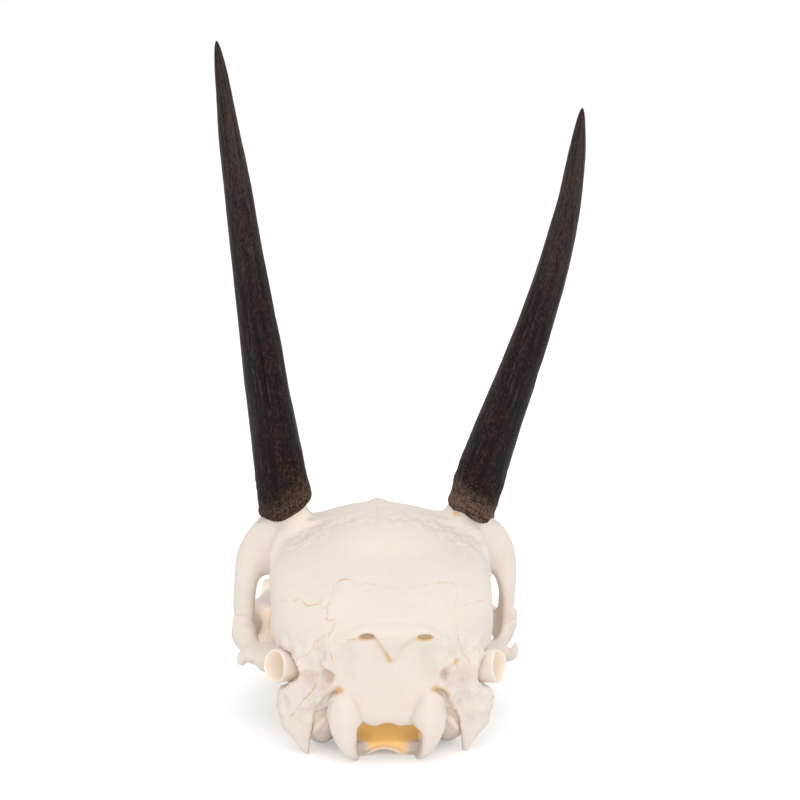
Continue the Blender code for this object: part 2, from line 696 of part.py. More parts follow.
def tapered(shop, name, low, high, radii):
    """A closed tapered cylinder from one point to another, in millimetres."""
    def build(shape):
        run = high - low
        turn = run.to_track_quat("Z", "Y").to_matrix().to_4x4()
        bmesh.ops.create_cone(shape, cap_ends=True, segments=20, radius1=radii[0],
                              radius2=radii[1], depth=run.length,
                              matrix=Matrix.Translation((low + high) / 2) @ turn)
    return shop.piece(name, solid(build))


def make_ear(shop, side, name):
    """Ear capsule, its neck and the open ear tube, as one bone."""
    def capsule(shape):
        bmesh.ops.create_uvsphere(shape, u_segments=18, v_segments=12, radius=1.0,
                                  matrix=Matrix.LocRotScale(Vector(mirrored(CAPSULE_AT, side)),
                                                            None, Vector(CAPSULE_RADII)))

    start, mouth, low, high = (Vector(mirrored(point, side)) for point in (
        EAR_TUBE_STARTS[side], EAR_TUBE_MOUTHS[side], EAR_NECK_LOW, EAR_NECK_HIGH))
    outer, inner = EAR_TUBE_RADIUS, EAR_TUBE_RADIUS - EAR_TUBE_WALL
    ear = shop.piece(name, solid(capsule), shop.bone)
    tube = tapered(shop, "tube", start, mouth, (outer, outer))
    neck = tapered(shop, "neck", low, high, EAR_NECK_RADII)
    shop.combine(ear, [tube, neck], "UNION")
    bore = tapered(shop, "bore", start.lerp(mouth, 0.3), start.lerp(mouth, 1.3), (inner, inner))
    return shop.combine(ear, [bore], "DIFFERENCE")


def horn_points(horn, count=26):
    """Points (x, y, z, radius) from below the foot to the tip, straight plus a bow and a sway.

    The radius falls as the square root of what is left, with a swelling at the foot.
    """
    foot, tip = np.array(horn.foot), np.array(horn.tip)
    t = np.concatenate([[-0.08], 1 - (1 - np.linspace(0, 1, count)) ** 1.5])
    bow = np.sin(math.pi * np.clip(t, 0, 1))
    places = foot + t[:, None] * (tip - foot)
    places[:, 0] += horn.bow[0] * bow - horn.sway * np.sin(2 * math.pi * np.clip(t, 0, 1))
    places[:, 1] += horn.bow[1] * bow
    left = np.clip(1 - t, 0.004, 1)
    radii = HORN_BASE_RADIUS * np.sqrt(left) + HORN_FOOT_SWELL * np.exp(-(t / HORN_SWELL_REACH) ** 2)
    return np.column_stack([places, radii])


def make_horn(shop, horn):
    """A horn sheath: a tapered curve cut off along the slanting plane of its foot."""
    points = horn_points(horn)
    curve = bpy.data.curves.new(horn.name, "CURVE")
    curve.dimensions = "3D"
    curve.bevel_depth = METRES
    curve.bevel_resolution = 3
    curve.use_fill_caps = True
    line = curve.splines.new("POLY")
    line.points.add(len(points) - 1)
    for point, (x, y, z, radius) in zip(line.points, points):
        point.co = (x * METRES, y * METRES, z * METRES, 1.0)
        point.radius = radius
    sheath = shop.applied(shop.piece(horn.name, curve, shop.sheath))

    def build(shape):
        normal = Vector((-horn.slant[0], -horn.slant[1], 1.0)).normalized()
        turn = normal.to_track_quat("Z", "Y")
        centre = Vector(horn.foot) + normal * (SUTURE_GAP / 2 - 15.0)
        bmesh.ops.create_cube(shape, size=30.0, matrix=Matrix.LocRotScale(centre, turn, None))
    return shop.combine(sheath, [shop.piece("foot", solid(build))], "DIFFERENCE")


def main():
    """Builds the skull in an empty scene."""
    for thing in list(bpy.data.objects):
        bpy.data.objects.remove(thing)
    shop = Workshop()
    bones = make_bones(shop)
    add_teeth(shop, bones["face"])
    shop.combine(bones["braincase"], [floor_cutter(shop)], "DIFFERENCE")
    for side, horn in HORNS.items():
        make_ear(shop, side, "ear_bone_left" if side < 0 else "ear_bone_right")
        make_horn(shop, horn)


main()
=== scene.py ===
"""Looks of a life-size steenbok skull that rests on its teeth, seen from behind.

Places in the skull are in millimetres: x from its mid line, y forward from the rearmost point
of the condyles, z up from the floor. SkullPlace turns them into the model's metres. The bones
are distance functions that run into each other on a grid of points, and their skin is drawn
where the blend is zero. Horns, teeth and floor are surfaces of two parameters.
"""

from __future__ import annotations

import logging
import math
import sys
from collections.abc import Callable, Sequence
from dataclasses import dataclass, field
from enum import Enum
from typing import Protocol

import bpy
import numpy as np
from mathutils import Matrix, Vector
from numpy.typing import NDArray

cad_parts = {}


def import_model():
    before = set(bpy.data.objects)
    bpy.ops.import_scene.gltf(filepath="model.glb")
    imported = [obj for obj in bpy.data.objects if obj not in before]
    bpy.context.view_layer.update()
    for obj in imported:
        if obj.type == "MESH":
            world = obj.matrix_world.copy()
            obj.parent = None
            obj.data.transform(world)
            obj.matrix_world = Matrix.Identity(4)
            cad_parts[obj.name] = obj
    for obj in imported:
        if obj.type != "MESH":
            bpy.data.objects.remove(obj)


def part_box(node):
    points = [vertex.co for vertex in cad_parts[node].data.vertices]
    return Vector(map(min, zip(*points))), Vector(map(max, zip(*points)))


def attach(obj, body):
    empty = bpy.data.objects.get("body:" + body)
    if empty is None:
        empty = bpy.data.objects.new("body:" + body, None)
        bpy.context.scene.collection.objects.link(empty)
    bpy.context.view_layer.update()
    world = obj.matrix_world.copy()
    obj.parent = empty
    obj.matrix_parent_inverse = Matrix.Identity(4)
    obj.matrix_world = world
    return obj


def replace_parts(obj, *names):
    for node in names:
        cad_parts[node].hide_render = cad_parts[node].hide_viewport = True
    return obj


Array = NDArray[np.floating]
Point = tuple[float, float, float]

LOG = logging.getLogger("skull")
METRES = 0.001
FAR = 50.0
SKULL_LENGTH = 138.0
LINE_REACH = 5.0
CRACKS_END = 64.0
MID_SEAM_START = 42.0


class Side(Enum):
    """The animal's left and right side, as the sign of x."""

    LEFT = -1
    RIGHT = 1

    @property
    def word(self) -> str:
        """The side's name, as it ends a node's name."""
        return self.name.lower()


# Places and random relief


@dataclass(frozen=True)
class SkullPlace:
    """Where the skull's own origin is in the model's frame."""

    middle: float
    back: float

    @classmethod
    def from_frame(cls) -> SkullPlace:
        """The place of the mid line and of the rearmost point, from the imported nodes.

        Returns:
            The place, in metres.
        """
        middle = (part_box("nasal_left")[1].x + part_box("nasal_right")[0].x) / 2
        return cls(middle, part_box("premaxilla_left")[1].y - SKULL_LENGTH * METRES)

    def metres(self, points: Array) -> Array:
        """Turns millimetres in the skull into metres in the model."""
        return np.asarray(points) * METRES + (self.middle, self.back, 0.0)


@dataclass(frozen=True)
class Relief:
    """Smooth random heights from -1 to 1 in space: eased numbers on a lattice that repeats."""

    seed: int
    cells: int = 24

    def heights(self, places: Array, wave: float) -> Array:
        """One layer of relief.

        Args:
            places: Points, one a row.
            wave: Distance between lattice points, in the points' units.

        Returns:
            A height for each point.
        """
        lattice = np.random.default_rng(self.seed).uniform(-1, 1, (self.cells,) * 3)
        spots = places / wave
        low = np.floor(spots).astype(int)
        part = spots - low
        part = part * part * (3 - 2 * part)
        total = np.zeros(len(places))
        for corner in np.ndindex(2, 2, 2):
            share = np.prod(np.where(corner, part, 1 - part), axis=1)
            i, j, k = ((low + corner) % self.cells).T
            total += share * lattice[i, j, k]
        return total

    def rough(self, places: Array, wave: float, layers: int = 3) -> Array:
        """Layers of relief, each with half the wave and half the height of the last."""
        return sum(self.heights(places + 7.3 * n, wave / 2**n) / 2**n for n in range(layers))


def eased(low: float, high: float, value: Array) -> Array:
    """Goes smoothly from 0 at low to 1 at high."""
    part = np.clip((value - low) / (high - low), 0, 1)
    return part * part * (3 - 2 * part)


def mirrored(point: Sequence[float], side: Side) -> tuple[float, ...]:
    """The point with its x on the given side, any further numbers kept."""
    return (point[0] * side.value, *point[1:])


def on_side(points: Sequence[Sequence[float]], side: Side) -> list[tuple[float, ...]]:
    """The points with their x on the given side."""
    return [mirrored(point, side) for point in points]


def along(run: Sequence[Sequence[float]], column: int, y: Array) -> Array:
    """Smooth cubic curve through one column of a run of sections, read at y."""
    ys = np.array([row[0] for row in run])
    values = np.array([row[column] for row in run])
    slopes = np.gradient(values, ys)
    place = np.clip(y, ys[0], ys[-1])
    i = np.clip(np.searchsorted(ys, place) - 1, 0, len(ys) - 2)
    width = ys[i + 1] - ys[i]
    t = (place - ys[i]) / width
    start = values[i] * (1 + 2 * t) * (1 - t) ** 2 + slopes[i] * width * t * (1 - t) ** 2
    end = values[i + 1] * t * t * (3 - 2 * t) - slopes[i + 1] * width * t * t * (1 - t)
    return (start + end).astype(np.float32)


def smooth_path(points: Sequence[Sequence[float]], closed: bool = False, steps: int = 4) -> Array:
    """Points along a Catmull-Rom curve through the given ones, any columns with them."""
    corners = np.array(points, dtype=float)
    if closed:
        ring = np.vstack([corners[-1:], corners, corners[:2]])
    else:
        ring = np.vstack([2 * corners[0] - corners[1], corners, 2 * corners[-1] - corners[-2]])
    a, b, c, d = (ring[i:len(ring) - 3 + i, None] for i in range(4))
    t = (np.arange(steps) / steps)[None, :, None]
    curve = b + 0.5 * t * (c - a + t * (2 * a - 5 * b + 4 * c - d + t * (3 * (b - c) + d - a)))
    return np.vstack([curve.reshape(-1, corners.shape[1]), ring[-2]])


# Forms: each tells how far a point is from its surface, less than zero inside


class Form(Protocol):
    """A solid with a box round it and a distance from any point."""

    box: tuple[Array, Array]

    def distance(self, x: Array, y: Array, z: Array) -> Array:
        """Distance to the surface, negative inside."""
        ...


class Ball:
    """An ellipsoid, turned by degrees about x, y and z."""

    def __init__(self, at: Point, radii: Point, turn: Point = (0.0, 0.0, 0.0)) -> None:
        """Keeps the centre, the radii and the axes, and works out the box."""
        self.at = np.array(at)
        self.radii = np.array(radii)
        (cx, sx), (cy, sy), (cz, sz) = ((math.cos(math.radians(a)), math.sin(math.radians(a)))
                                        for a in turn)
        about_x = np.array([[1, 0, 0], [0, cx, -sx], [0, sx, cx]])
        about_y = np.array([[cy, 0, sy], [0, 1, 0], [-sy, 0, cy]])
        about_z = np.array([[cz, -sz, 0], [sz, cz, 0], [0, 0, 1]])
        self.axes = about_z @ about_y @ about_x
        reach = np.sqrt(((self.axes * self.radii) ** 2).sum(axis=1))
        self.box = (self.at - reach, self.at + reach)

    def distance(self, x: Array, y: Array, z: Array) -> Array:
        """The scaled radius less one, over the slope of that radius."""
        scaled, slope = 0.0, 0.0
        for column, radius in zip(self.axes.T, self.radii):
            run = (x - self.at[0]) * column[0] + (y - self.at[1]) * column[1]
            run = run + (z - self.at[2]) * column[2]
            scaled = scaled + (run / radius) ** 2
            slope = slope + (run / radius**2) ** 2
        scaled = np.sqrt(scaled)
        return scaled * (scaled - 1) / np.maximum(np.sqrt(slope), 1e-6)


class Rod:
    """A tapered rod through points (x, y, z, radius), thinner by flat times along face."""

    def __init__(self, points: Sequence[Sequence[float]], closed: bool = False,
                 face: Point = (0.0, 0.0, 1.0), flat: float = 1.0) -> None:
        """Smooths the path and works out the box."""
        self.points = smooth_path(points, closed)
        self.face = np.array(face) / np.linalg.norm(face)
        self.flat = flat
        places, radii = self.points[:, :3], self.points[:, 3:]
        self.box = ((places - radii).min(axis=0), (places + radii).max(axis=0))

    def distance(self, x: Array, y: Array, z: Array) -> Array:
        """Least distance to the straight pieces, each looked at only near itself."""
        least = np.full(np.broadcast_shapes(x.shape, y.shape, z.shape), FAR, np.float32)
        for start, end in zip(self.points[:-1], self.points[1:]):
            spare = 3.5 + max(start[3], end[3])
            spans = []
            for axis, line in enumerate((x.ravel(), y.ravel(), z.ravel())):
                ends = sorted((start[axis], end[axis]))
                spans.append(slice(*np.searchsorted(line, (ends[0] - spare, ends[1] + spare))))
            near = (x[spans[0]], y[:, spans[1]], z[:, :, spans[2]])
            window = tuple(spans)
            least[window] = np.minimum(least[window], self.piece(start, end, near))
        return least

    def piece(self, start: Array, end: Array, at: tuple[Array, Array, Array]) -> Array:
        """Distance to one straight piece whose radius changes evenly."""
        run = end[:3] - start[:3]
        ahead = [line - place for line, place in zip(at, start)]
        t = sum(step * part for step, part in zip(ahead, run)) / max(run @ run, 1e-9)
        t = np.clip(t, 0, 1)
        aside = [step - t * part for step, part in zip(ahead, run)]
        radius = start[3] + t * (end[3] - start[3])
        if self.flat == 1.0:
            return np.sqrt(sum(part**2 for part in aside)) - radius
        rise = (self.flat - 1) * sum(part * axis for part, axis in zip(aside, self.face))
        pressed = [part + rise * axis for part, axis in zip(aside, self.face)]
        length = np.sqrt(sum(part**2 for part in pressed)) + 1e-6
        again = (self.flat - 1) * sum(part * axis for part, axis in zip(pressed, self.face))
        steep = np.sqrt(sum((part + again * axis) ** 2
                            for part, axis in zip(pressed, self.face))) + 1e-6
        return (length - radius) * length / steep


class Loft:
    """Rounded sections along y, each rounder or squarer, cut off at the first and last y."""

    def __init__(self, run: Sequence[Sequence[float]], under: float = 2.2) -> None:
        """Keeps the run and the squareness of the lower half, and works out the box."""
        self.run = run
        self.under = under
        widest = max(row[1] for row in run)
        self.box = (np.array([-widest, run[0][0], min(row[4] for row in run)]),
                    np.array([widest, run[-1][0], max(row[3] for row in run)]))

    def distance(self, x: Array, y: Array, z: Array) -> Array:
        """Distance to the section at y, a superellipse, never less than to the two ends."""
        half, level, top, bottom, square = (along(self.run, c, y) for c in range(1, 6))
        upper = z > level
        height = np.where(upper, top - level, level - bottom)
        power = np.where(upper, square, np.float32(self.under))
        a = np.abs(x) / half + np.float32(1e-6)
        b = np.abs(z - level) / height + np.float32(1e-6)
        size = (a**power + b**power) ** (1 / power)
        steep = np.hypot((a / size) ** (power - 1) / half, (b / size) ** (power - 1) / height)
        ends = np.maximum(self.run[0][0] - y, y - self.run[-1][0])
        return np.maximum((size - 1) / steep, ends)


class Slab:
    """A flat outline in x and z, given thickness along y, with rounded edges.

    The middle of its thickness is at y = at + lean * h + bend * h * h + across * |x|
    + bow * (|x| - centre) ** 2, with h the height above the level.
    """

    def __init__(self, outline: Sequence[Sequence[float]], at: float, thick: float, edge: float,
                 level: float = 0.0, lean: float = 0.0, bend: float = 0.0,
                 across: float = 0.0, centre: float = 0.0, bow: float = 0.0) -> None:
        """Smooths the outline and works out the box."""
        self.outline = smooth_path(outline, closed=True, steps=3)[:-1]
        self.at, self.thick, self.edge = at, thick, edge
        self.level, self.lean, self.bend, self.across = level, lean, bend, across
        self.centre, self.bow = centre, bow
        low, high = self.outline.min(axis=0), self.outline.max(axis=0)
        middles = self.middle(self.outline[:, 0], self.outline[:, 1])
        half = thick / 2 + 0.5
        self.box = (np.array([low[0], min(middles.min(), self.at) - half, low[1]]),
                    np.array([high[0], middles.max() + half, high[1]]))

    def middle(self, x: Array, z: Array) -> Array:
        """Where the middle of the thickness is."""
        height, aside = z - self.level, np.abs(x)
        return (self.at + (self.lean + self.bend * height) * height + self.across * aside
                + self.bow * (aside - self.centre) ** 2)

    def distance(self, x: Array, y: Array, z: Array) -> Array:
        """Distance to the outline in its plane and to the two faces, met with a round edge."""
        flat = outline_distance(self.outline, x, z)
        aside = np.abs(y - self.middle(x, z)) - self.thick / 2
        a, b = flat + self.edge, aside + self.edge
        outer = np.hypot(np.maximum(a, 0), np.maximum(b, 0))
        return (outer + np.minimum(np.maximum(a, b), 0) - self.edge).astype(np.float32)


def outline_distance(outline: Array, x: Array, z: Array) -> Array:
    """Distance to a closed outline in a plane, negative inside it.

    Args:
        outline: Corners in order, one a row.
        x: Places along the first axis, shaped to broadcast with z.
        z: Places along the second axis.

    Returns:
        The distances, with the sign from how often a ray crosses the outline.
    """
    least = np.full(np.broadcast_shapes(x.shape, z.shape), FAR**2)
    inside = np.zeros(least.shape, bool)
    for (ax, az), (bx, bz) in zip(outline, np.roll(outline, -1, axis=0)):
        run = (bx - ax, bz - az)
        t = ((x - ax) * run[0] + (z - az) * run[1]) / max(run[0] ** 2 + run[1] ** 2, 1e-9)
        t = np.clip(t, 0, 1)
        least = np.minimum(least, (x - ax - t * run[0]) ** 2 + (z - az - t * run[1]) ** 2)
        if bz != az:
            crosses = (az > z) != (bz > z)
            inside ^= crosses & (x < run[0] * (z - az) / run[1] + ax)
    return np.where(inside, -1, 1) * np.sqrt(least)


class Above:
    """What lies above a slanting plane, inside an upright cylinder of a given reach."""

    def __init__(self, at: Point, slant: tuple[float, float], reach: float) -> None:
        """Keeps the plane's point and slopes, and works out the box."""
        self.at, self.slant, self.reach = np.array(at), slant, reach
        self.box = (self.at - reach, self.at + reach * np.array([1.0, 1.0, 1.6]))

    def distance(self, x: Array, y: Array, z: Array) -> Array:
        """Distance below the plane, never less than the distance to the cylinder."""
        rise = z - self.at[2] - self.slant[0] * (x - self.at[0]) - self.slant[1] * (y - self.at[1])
        aside = np.hypot(x - self.at[0], y - self.at[1]) - self.reach
        return np.maximum(-rise / math.hypot(1, *self.slant), aside)


@dataclass
class Beyond:
    """What lies on the far side of a surface y = back(x, z), inside a box."""

    back: Callable[[Array, Array], Array]
    box: tuple[Array, Array]
    steep: float = 1.0

    def distance(self, x: Array, y: Array, z: Array) -> Array:
        """How far a point is in front of the surface, over the surface's steepness."""
        return ((y - self.back(x, z)) / self.steep).astype(np.float32)


# The grid of points


def soft_least(a: Array, b: Array, blend: float) -> Array:
    """The lesser of two distances, rounded where they differ by less than the blend."""
    near = np.maximum(blend - np.abs(a - b), 0)
    return np.minimum(a, b) - near**2 / np.float32(4 * max(blend, 1e-6))


@dataclass
class Clay:
    """Space round the bones, with the distance to bone at each grid point."""

    low: Array
    high: Array
    step: float
    lines: list[Array] = field(init=False)
    depth: Array = field(init=False)

    def __post_init__(self) -> None:
        """Lays out the grid lines and fills the space with nothing."""
        counts = np.ceil((self.high - self.low) / self.step).astype(int) + 1
        self.lines = [(start + self.step * np.arange(n)).astype(np.float32)
                      for start, n in zip(self.low, counts)]
        self.depth = np.full(counts, FAR, np.float32)

    def window(self, box: tuple[Array, Array], spare: float) -> tuple[tuple, tuple]:
        """The part of the grid that a box reaches, and x, y and z there."""
        spans = tuple(slice(*np.searchsorted(line, (low - spare, high + spare)))
                      for line, low, high in zip(self.lines, *box))
        x, y, z = (line[span] for line, span in zip(self.lines, spans))
        return spans, (x[:, None, None], y[None, :, None], z[None, None, :])

    def add(self, form: Form, blend: float = 1.0) -> None:
        """Adds a form and rounds the corner where it meets what is there."""
        spans, places = self.window(form.box, blend + 2 * self.step)
        if all(place.size for place in places):
            self.depth[spans] = soft_least(self.depth[spans], form.distance(*places), blend)

    def cut(self, form: Form, blend: float = 1.0) -> None:
        """Sinks a form into what is there and rounds the edge."""
        spans, places = self.window(form.box, blend + 2 * self.step)
        if all(place.size for place in places):
            self.depth[spans] = -soft_least(-self.depth[spans], form.distance(*places), blend)

    def blurred(self, radius: float) -> Array:
        """Share of bone round each grid point: two passes of a moving mean along each axis."""
        reach = max(1, round(radius / self.step))
        share = (self.depth < 0).astype(np.float32)
        for axis in (0, 1, 2, 0, 1, 2):
            wide = np.pad(share, [(reach + 1, reach) if i == axis else (0, 0) for i in range(3)],
                          mode="edge")
            total = np.cumsum(wide, axis=axis, dtype=np.float32)
            size = share.shape[axis]
            ahead = total.take(range(2 * reach + 1, 2 * reach + 1 + size), axis)
            share = (ahead - total.take(range(size), axis)) / (2 * reach + 1)
        return share

    def read(self, values: Array, points: Array) -> Array:
        """Values of the grid at any points, evenly shared between the eight nearest."""
        spots = (points - self.low) / self.step
        low = np.clip(np.floor(spots).astype(int), 0, np.array(values.shape) - 2)
        part = np.clip(spots - low, 0, 1)
        total = np.zeros(len(points))
        for corner in np.ndindex(2, 2, 2):
            share = np.prod(np.where(corner, part, 1 - part), axis=1)
            i, j, k = (low + corner).T
            total += share * values[i, j, k]
        return total


def skin(depth: Array, low: Array, step: float) -> tuple[Array, Array]:
    """Quads where the depth is zero, with one corner in each cell that the surface crosses.

    The corner is the mean of the places where the cell's edges cross zero, and each grid edge
    that crosses zero gives one quad between the four cells round it.

    Args:
        depth: Distances on the grid, negative inside.
        low: The grid's lowest corner.
        step: The grid's step.

    Returns:
        The corners, one a row, and the quads as rows of corner numbers.
    """
    inside = depth < 0
    cells = tuple(n - 1 for n in depth.shape)
    corners = list(np.ndindex(2, 2, 2))
    filled = sum(inside[i:i + cells[0], j:j + cells[1], k:k + cells[2]].astype(np.int8)
                 for i, j, k in corners)
    crossed = np.argwhere((filled > 0) & (filled < 8))
    value = {c: depth[tuple((crossed + c).T)] for c in corners}
    total, count = np.zeros((len(crossed), 3)), np.zeros(len(crossed))
    for start in corners:
        for axis in range(3):
            if start[axis]:
                continue
            end = tuple(1 if i == axis else start[i] for i in range(3))
            a, b = value[start], value[end]
            cuts = (a < 0) != (b < 0)
            t = np.where(cuts, a / np.where(cuts, a - b, 1), 0)
            place = np.array(start) + t[:, None] * (np.array(end) - np.array(start))
            total += place * cuts[:, None]
            count += cuts
    points = np.array(low) + step * (crossed + total / count[:, None])
    number = np.full(cells, -1, np.int32)
    number[tuple(crossed.T)] = np.arange(len(crossed))
    faces = []
    for axis in range(3):
        first, second = (axis + 1) % 3, (axis + 2) % 3
        before = inside.take(range(cells[axis]), axis)
        after = inside.take(range(1, cells[axis] + 1), axis)
        for outward in (True, False):
            edges = np.argwhere((before & ~after) if outward else (after & ~before))
            ring = []
            for shift_first, shift_second in ((1, 1), (0, 1), (0, 0), (1, 0)):
                cell = edges.copy()
                cell[:, first] -= shift_first
                cell[:, second] -= shift_second
                ring.append(number[tuple(cell.T)])
            quads = np.stack(ring, axis=1)
            faces.append(quads if outward else quads[:, ::-1])
    return points, np.vstack(faces)


def largest_shell(points: Array, quads: Array) -> tuple[Array, Array]:
    """Keeps the largest connected surface: labels spread along the quads until they settle."""
    label = np.arange(len(points))
    while True:
        least = label[quads].min(axis=1)
        spread = label.copy()
        np.minimum.at(spread, quads, least[:, None])
        spread = spread[spread]
        if (spread == label).all():
            break
        label = spread
    names, counts = np.unique(label, return_counts=True)
    kept = label == names[counts.argmax()]
    number = np.cumsum(kept) - 1
    return points[kept], number[quads[kept[quads].all(axis=1)]]


# Bones of the cranium. A run of sections has rows of y, half width, height of the widest
# point, top, bottom and squareness of the top. A rod is points (x, y, z, radius), a ball is
# its centre and radii, and a slab is points (x, z). Rows of ridges, hollows, lumps and the pit
# start with the blend. What comes in pairs is given for the right side.


@dataclass(frozen=True)
class Horn:
    """One horn: its foot on the bony core, its tip, its bow and the slant of its foot.

    The sway bends it outward above its middle and inward below. The lifts raise the foot's edge
    on the left and on the right of the view from behind.
    """

    side: Side
    foot: Point
    tip: Point
    bow: tuple[float, float]
    slant: tuple[float, float]
    sway: float
    lifts: tuple[float, float]


HORNS = (
    Horn(Side.LEFT, (-23.4, 50.4, 53.2), (-39.9, 25.0, 175.5), (-0.3, -2.6), (0.62, 0.16), 0.0,
         (2.5, -0.3)),
    Horn(Side.RIGHT, (23.9, 50.4, 52.8), (48.2, 20.0, 159.3), (3.2, -2.6), (-0.70, 0.16), 0.9,
         (-2.2, 0.2)),
)


@dataclass(frozen=True)
class Vault:
    """Dome of the braincase, shelf of the forehead, brow ridge and the horns' bony cores."""

    dome: tuple = (
        (1.0, 15.0, 19.0, 30.5, 7.0, 2.6), (7.0, 21.5, 21.0, 34.6, 7.0, 2.5),
        (14.0, 25.3, 25.0, 38.8, 7.5, 2.5), (21.0, 27.3, 30.0, 42.2, 8.5, 2.6),
        (29.0, 27.8, 34.5, 45.4, 10.0, 2.9), (37.0, 27.8, 36.5, 48.2, 12.0, 3.3),
        (44.0, 26.6, 37.0, 50.8, 14.0, 3.6), (51.0, 22.5, 37.5, 52.6, 15.5, 3.0),
        (58.0, 15.0, 36.0, 52.4, 16.5, 2.6), (66.0, 11.0, 34.0, 49.0, 15.5, 2.6),
        (74.0, 12.5, 30.0, 46.0, 13.0, 2.6),
    )
    forehead: tuple = (
        (44.0, 27.0, 42.0, 48.6, 38.0, 2.6), (49.0, 29.0, 44.0, 49.8, 39.0, 2.6),
        (55.0, 29.0, 44.6, 50.2, 41.0, 2.7), (61.0, 27.4, 44.6, 49.8, 41.0, 2.7),
        (68.0, 25.4, 42.5, 48.2, 37.0, 2.6), (76.0, 24.4, 39.0, 45.9, 31.0, 2.5),
        (84.0, 20.5, 34.0, 42.9, 26.0, 2.4), (91.0, 16.0, 31.0, 38.8, 23.0, 2.4),
        (98.0, 12.0, 27.0, 33.0, 20.0, 2.4),
    )
    crown: tuple = ((0.0, 49.0, 42.0), (24.0, 20.0, 11.3))
    knob: tuple = ((0.4, 53.5, 52.4), (2.2, 3.0, 2.2))
    temple: tuple = ((24.6, 43.4, 47.4, 0.8), (26.6, 41.6, 45.6, 0.9), (27.4, 38.8, 42.6, 0.7),
                     (27.6, 35.0, 39.0, 0.4))
    core: tuple = ((22.8, 51.8, 44.0, 7.0), (23.2, 50.9, 49.4, 6.1), (23.8, 49.9, 54.4, 5.2),
                   (24.8, 48.4, 62.0, 4.5))
    right_core_lean: tuple = (0.0, 0.0, 0.5, 1.4)
    core_rise: float = 2.0
    back: float = 4.6
    back_curve: float = 11.5
    half_width: float = 26.0

    def ridge(self) -> list[Point]:
        """The brow ridge, bowed back and down to both sides, as points with a radius."""
        return [(x, 47.0 - 4.4 * (x / 27.0) ** 2, 51.7 - 4.6 * (x / 27.0) ** 2, 1.1)
                for x in np.linspace(-25.0, 25.0, 9)]

    def model(self, clay: Clay) -> None:
        """Adds the vault to the clay, flat at the back and rounded to the sides."""
        clay.add(Loft(self.dome))
        clay.add(Loft(self.forehead), blend=3.0)
        reach = (np.array([-45.0, -5.0, -5.0]), np.array([45.0, 18.0, 60.0]))
        clay.cut(Beyond(lambda x, z: self.back + self.back_curve
                        * (np.abs(x) / self.half_width) ** 2.6, reach, steep=1.087), blend=4.5)
        clay.add(Ball(*self.crown), blend=2.0)
        clay.add(Ball(*self.knob), blend=2.4)
        clay.add(Rod(self.ridge()), blend=1.2)
        for side in Side:
            clay.add(Rod(on_side(self.temple, side)), blend=1.6)
            core = self.core
            if side is Side.RIGHT:
                core = [(x + lean, *rest) for (x, *rest), lean in zip(core, self.right_core_lean)]
            clay.add(Rod(on_side(core, side)), blend=3.0)

    def open_cores(self, clay: Clay) -> None:
        """Cuts the cores off a little way inside the horns."""
        for horn in HORNS:
            rise = self.core_rise * math.hypot(1, *horn.slant)
            clay.cut(Above(np.array(horn.foot) + (0, 0, rise), horn.slant, 8.2), blend=0.05)


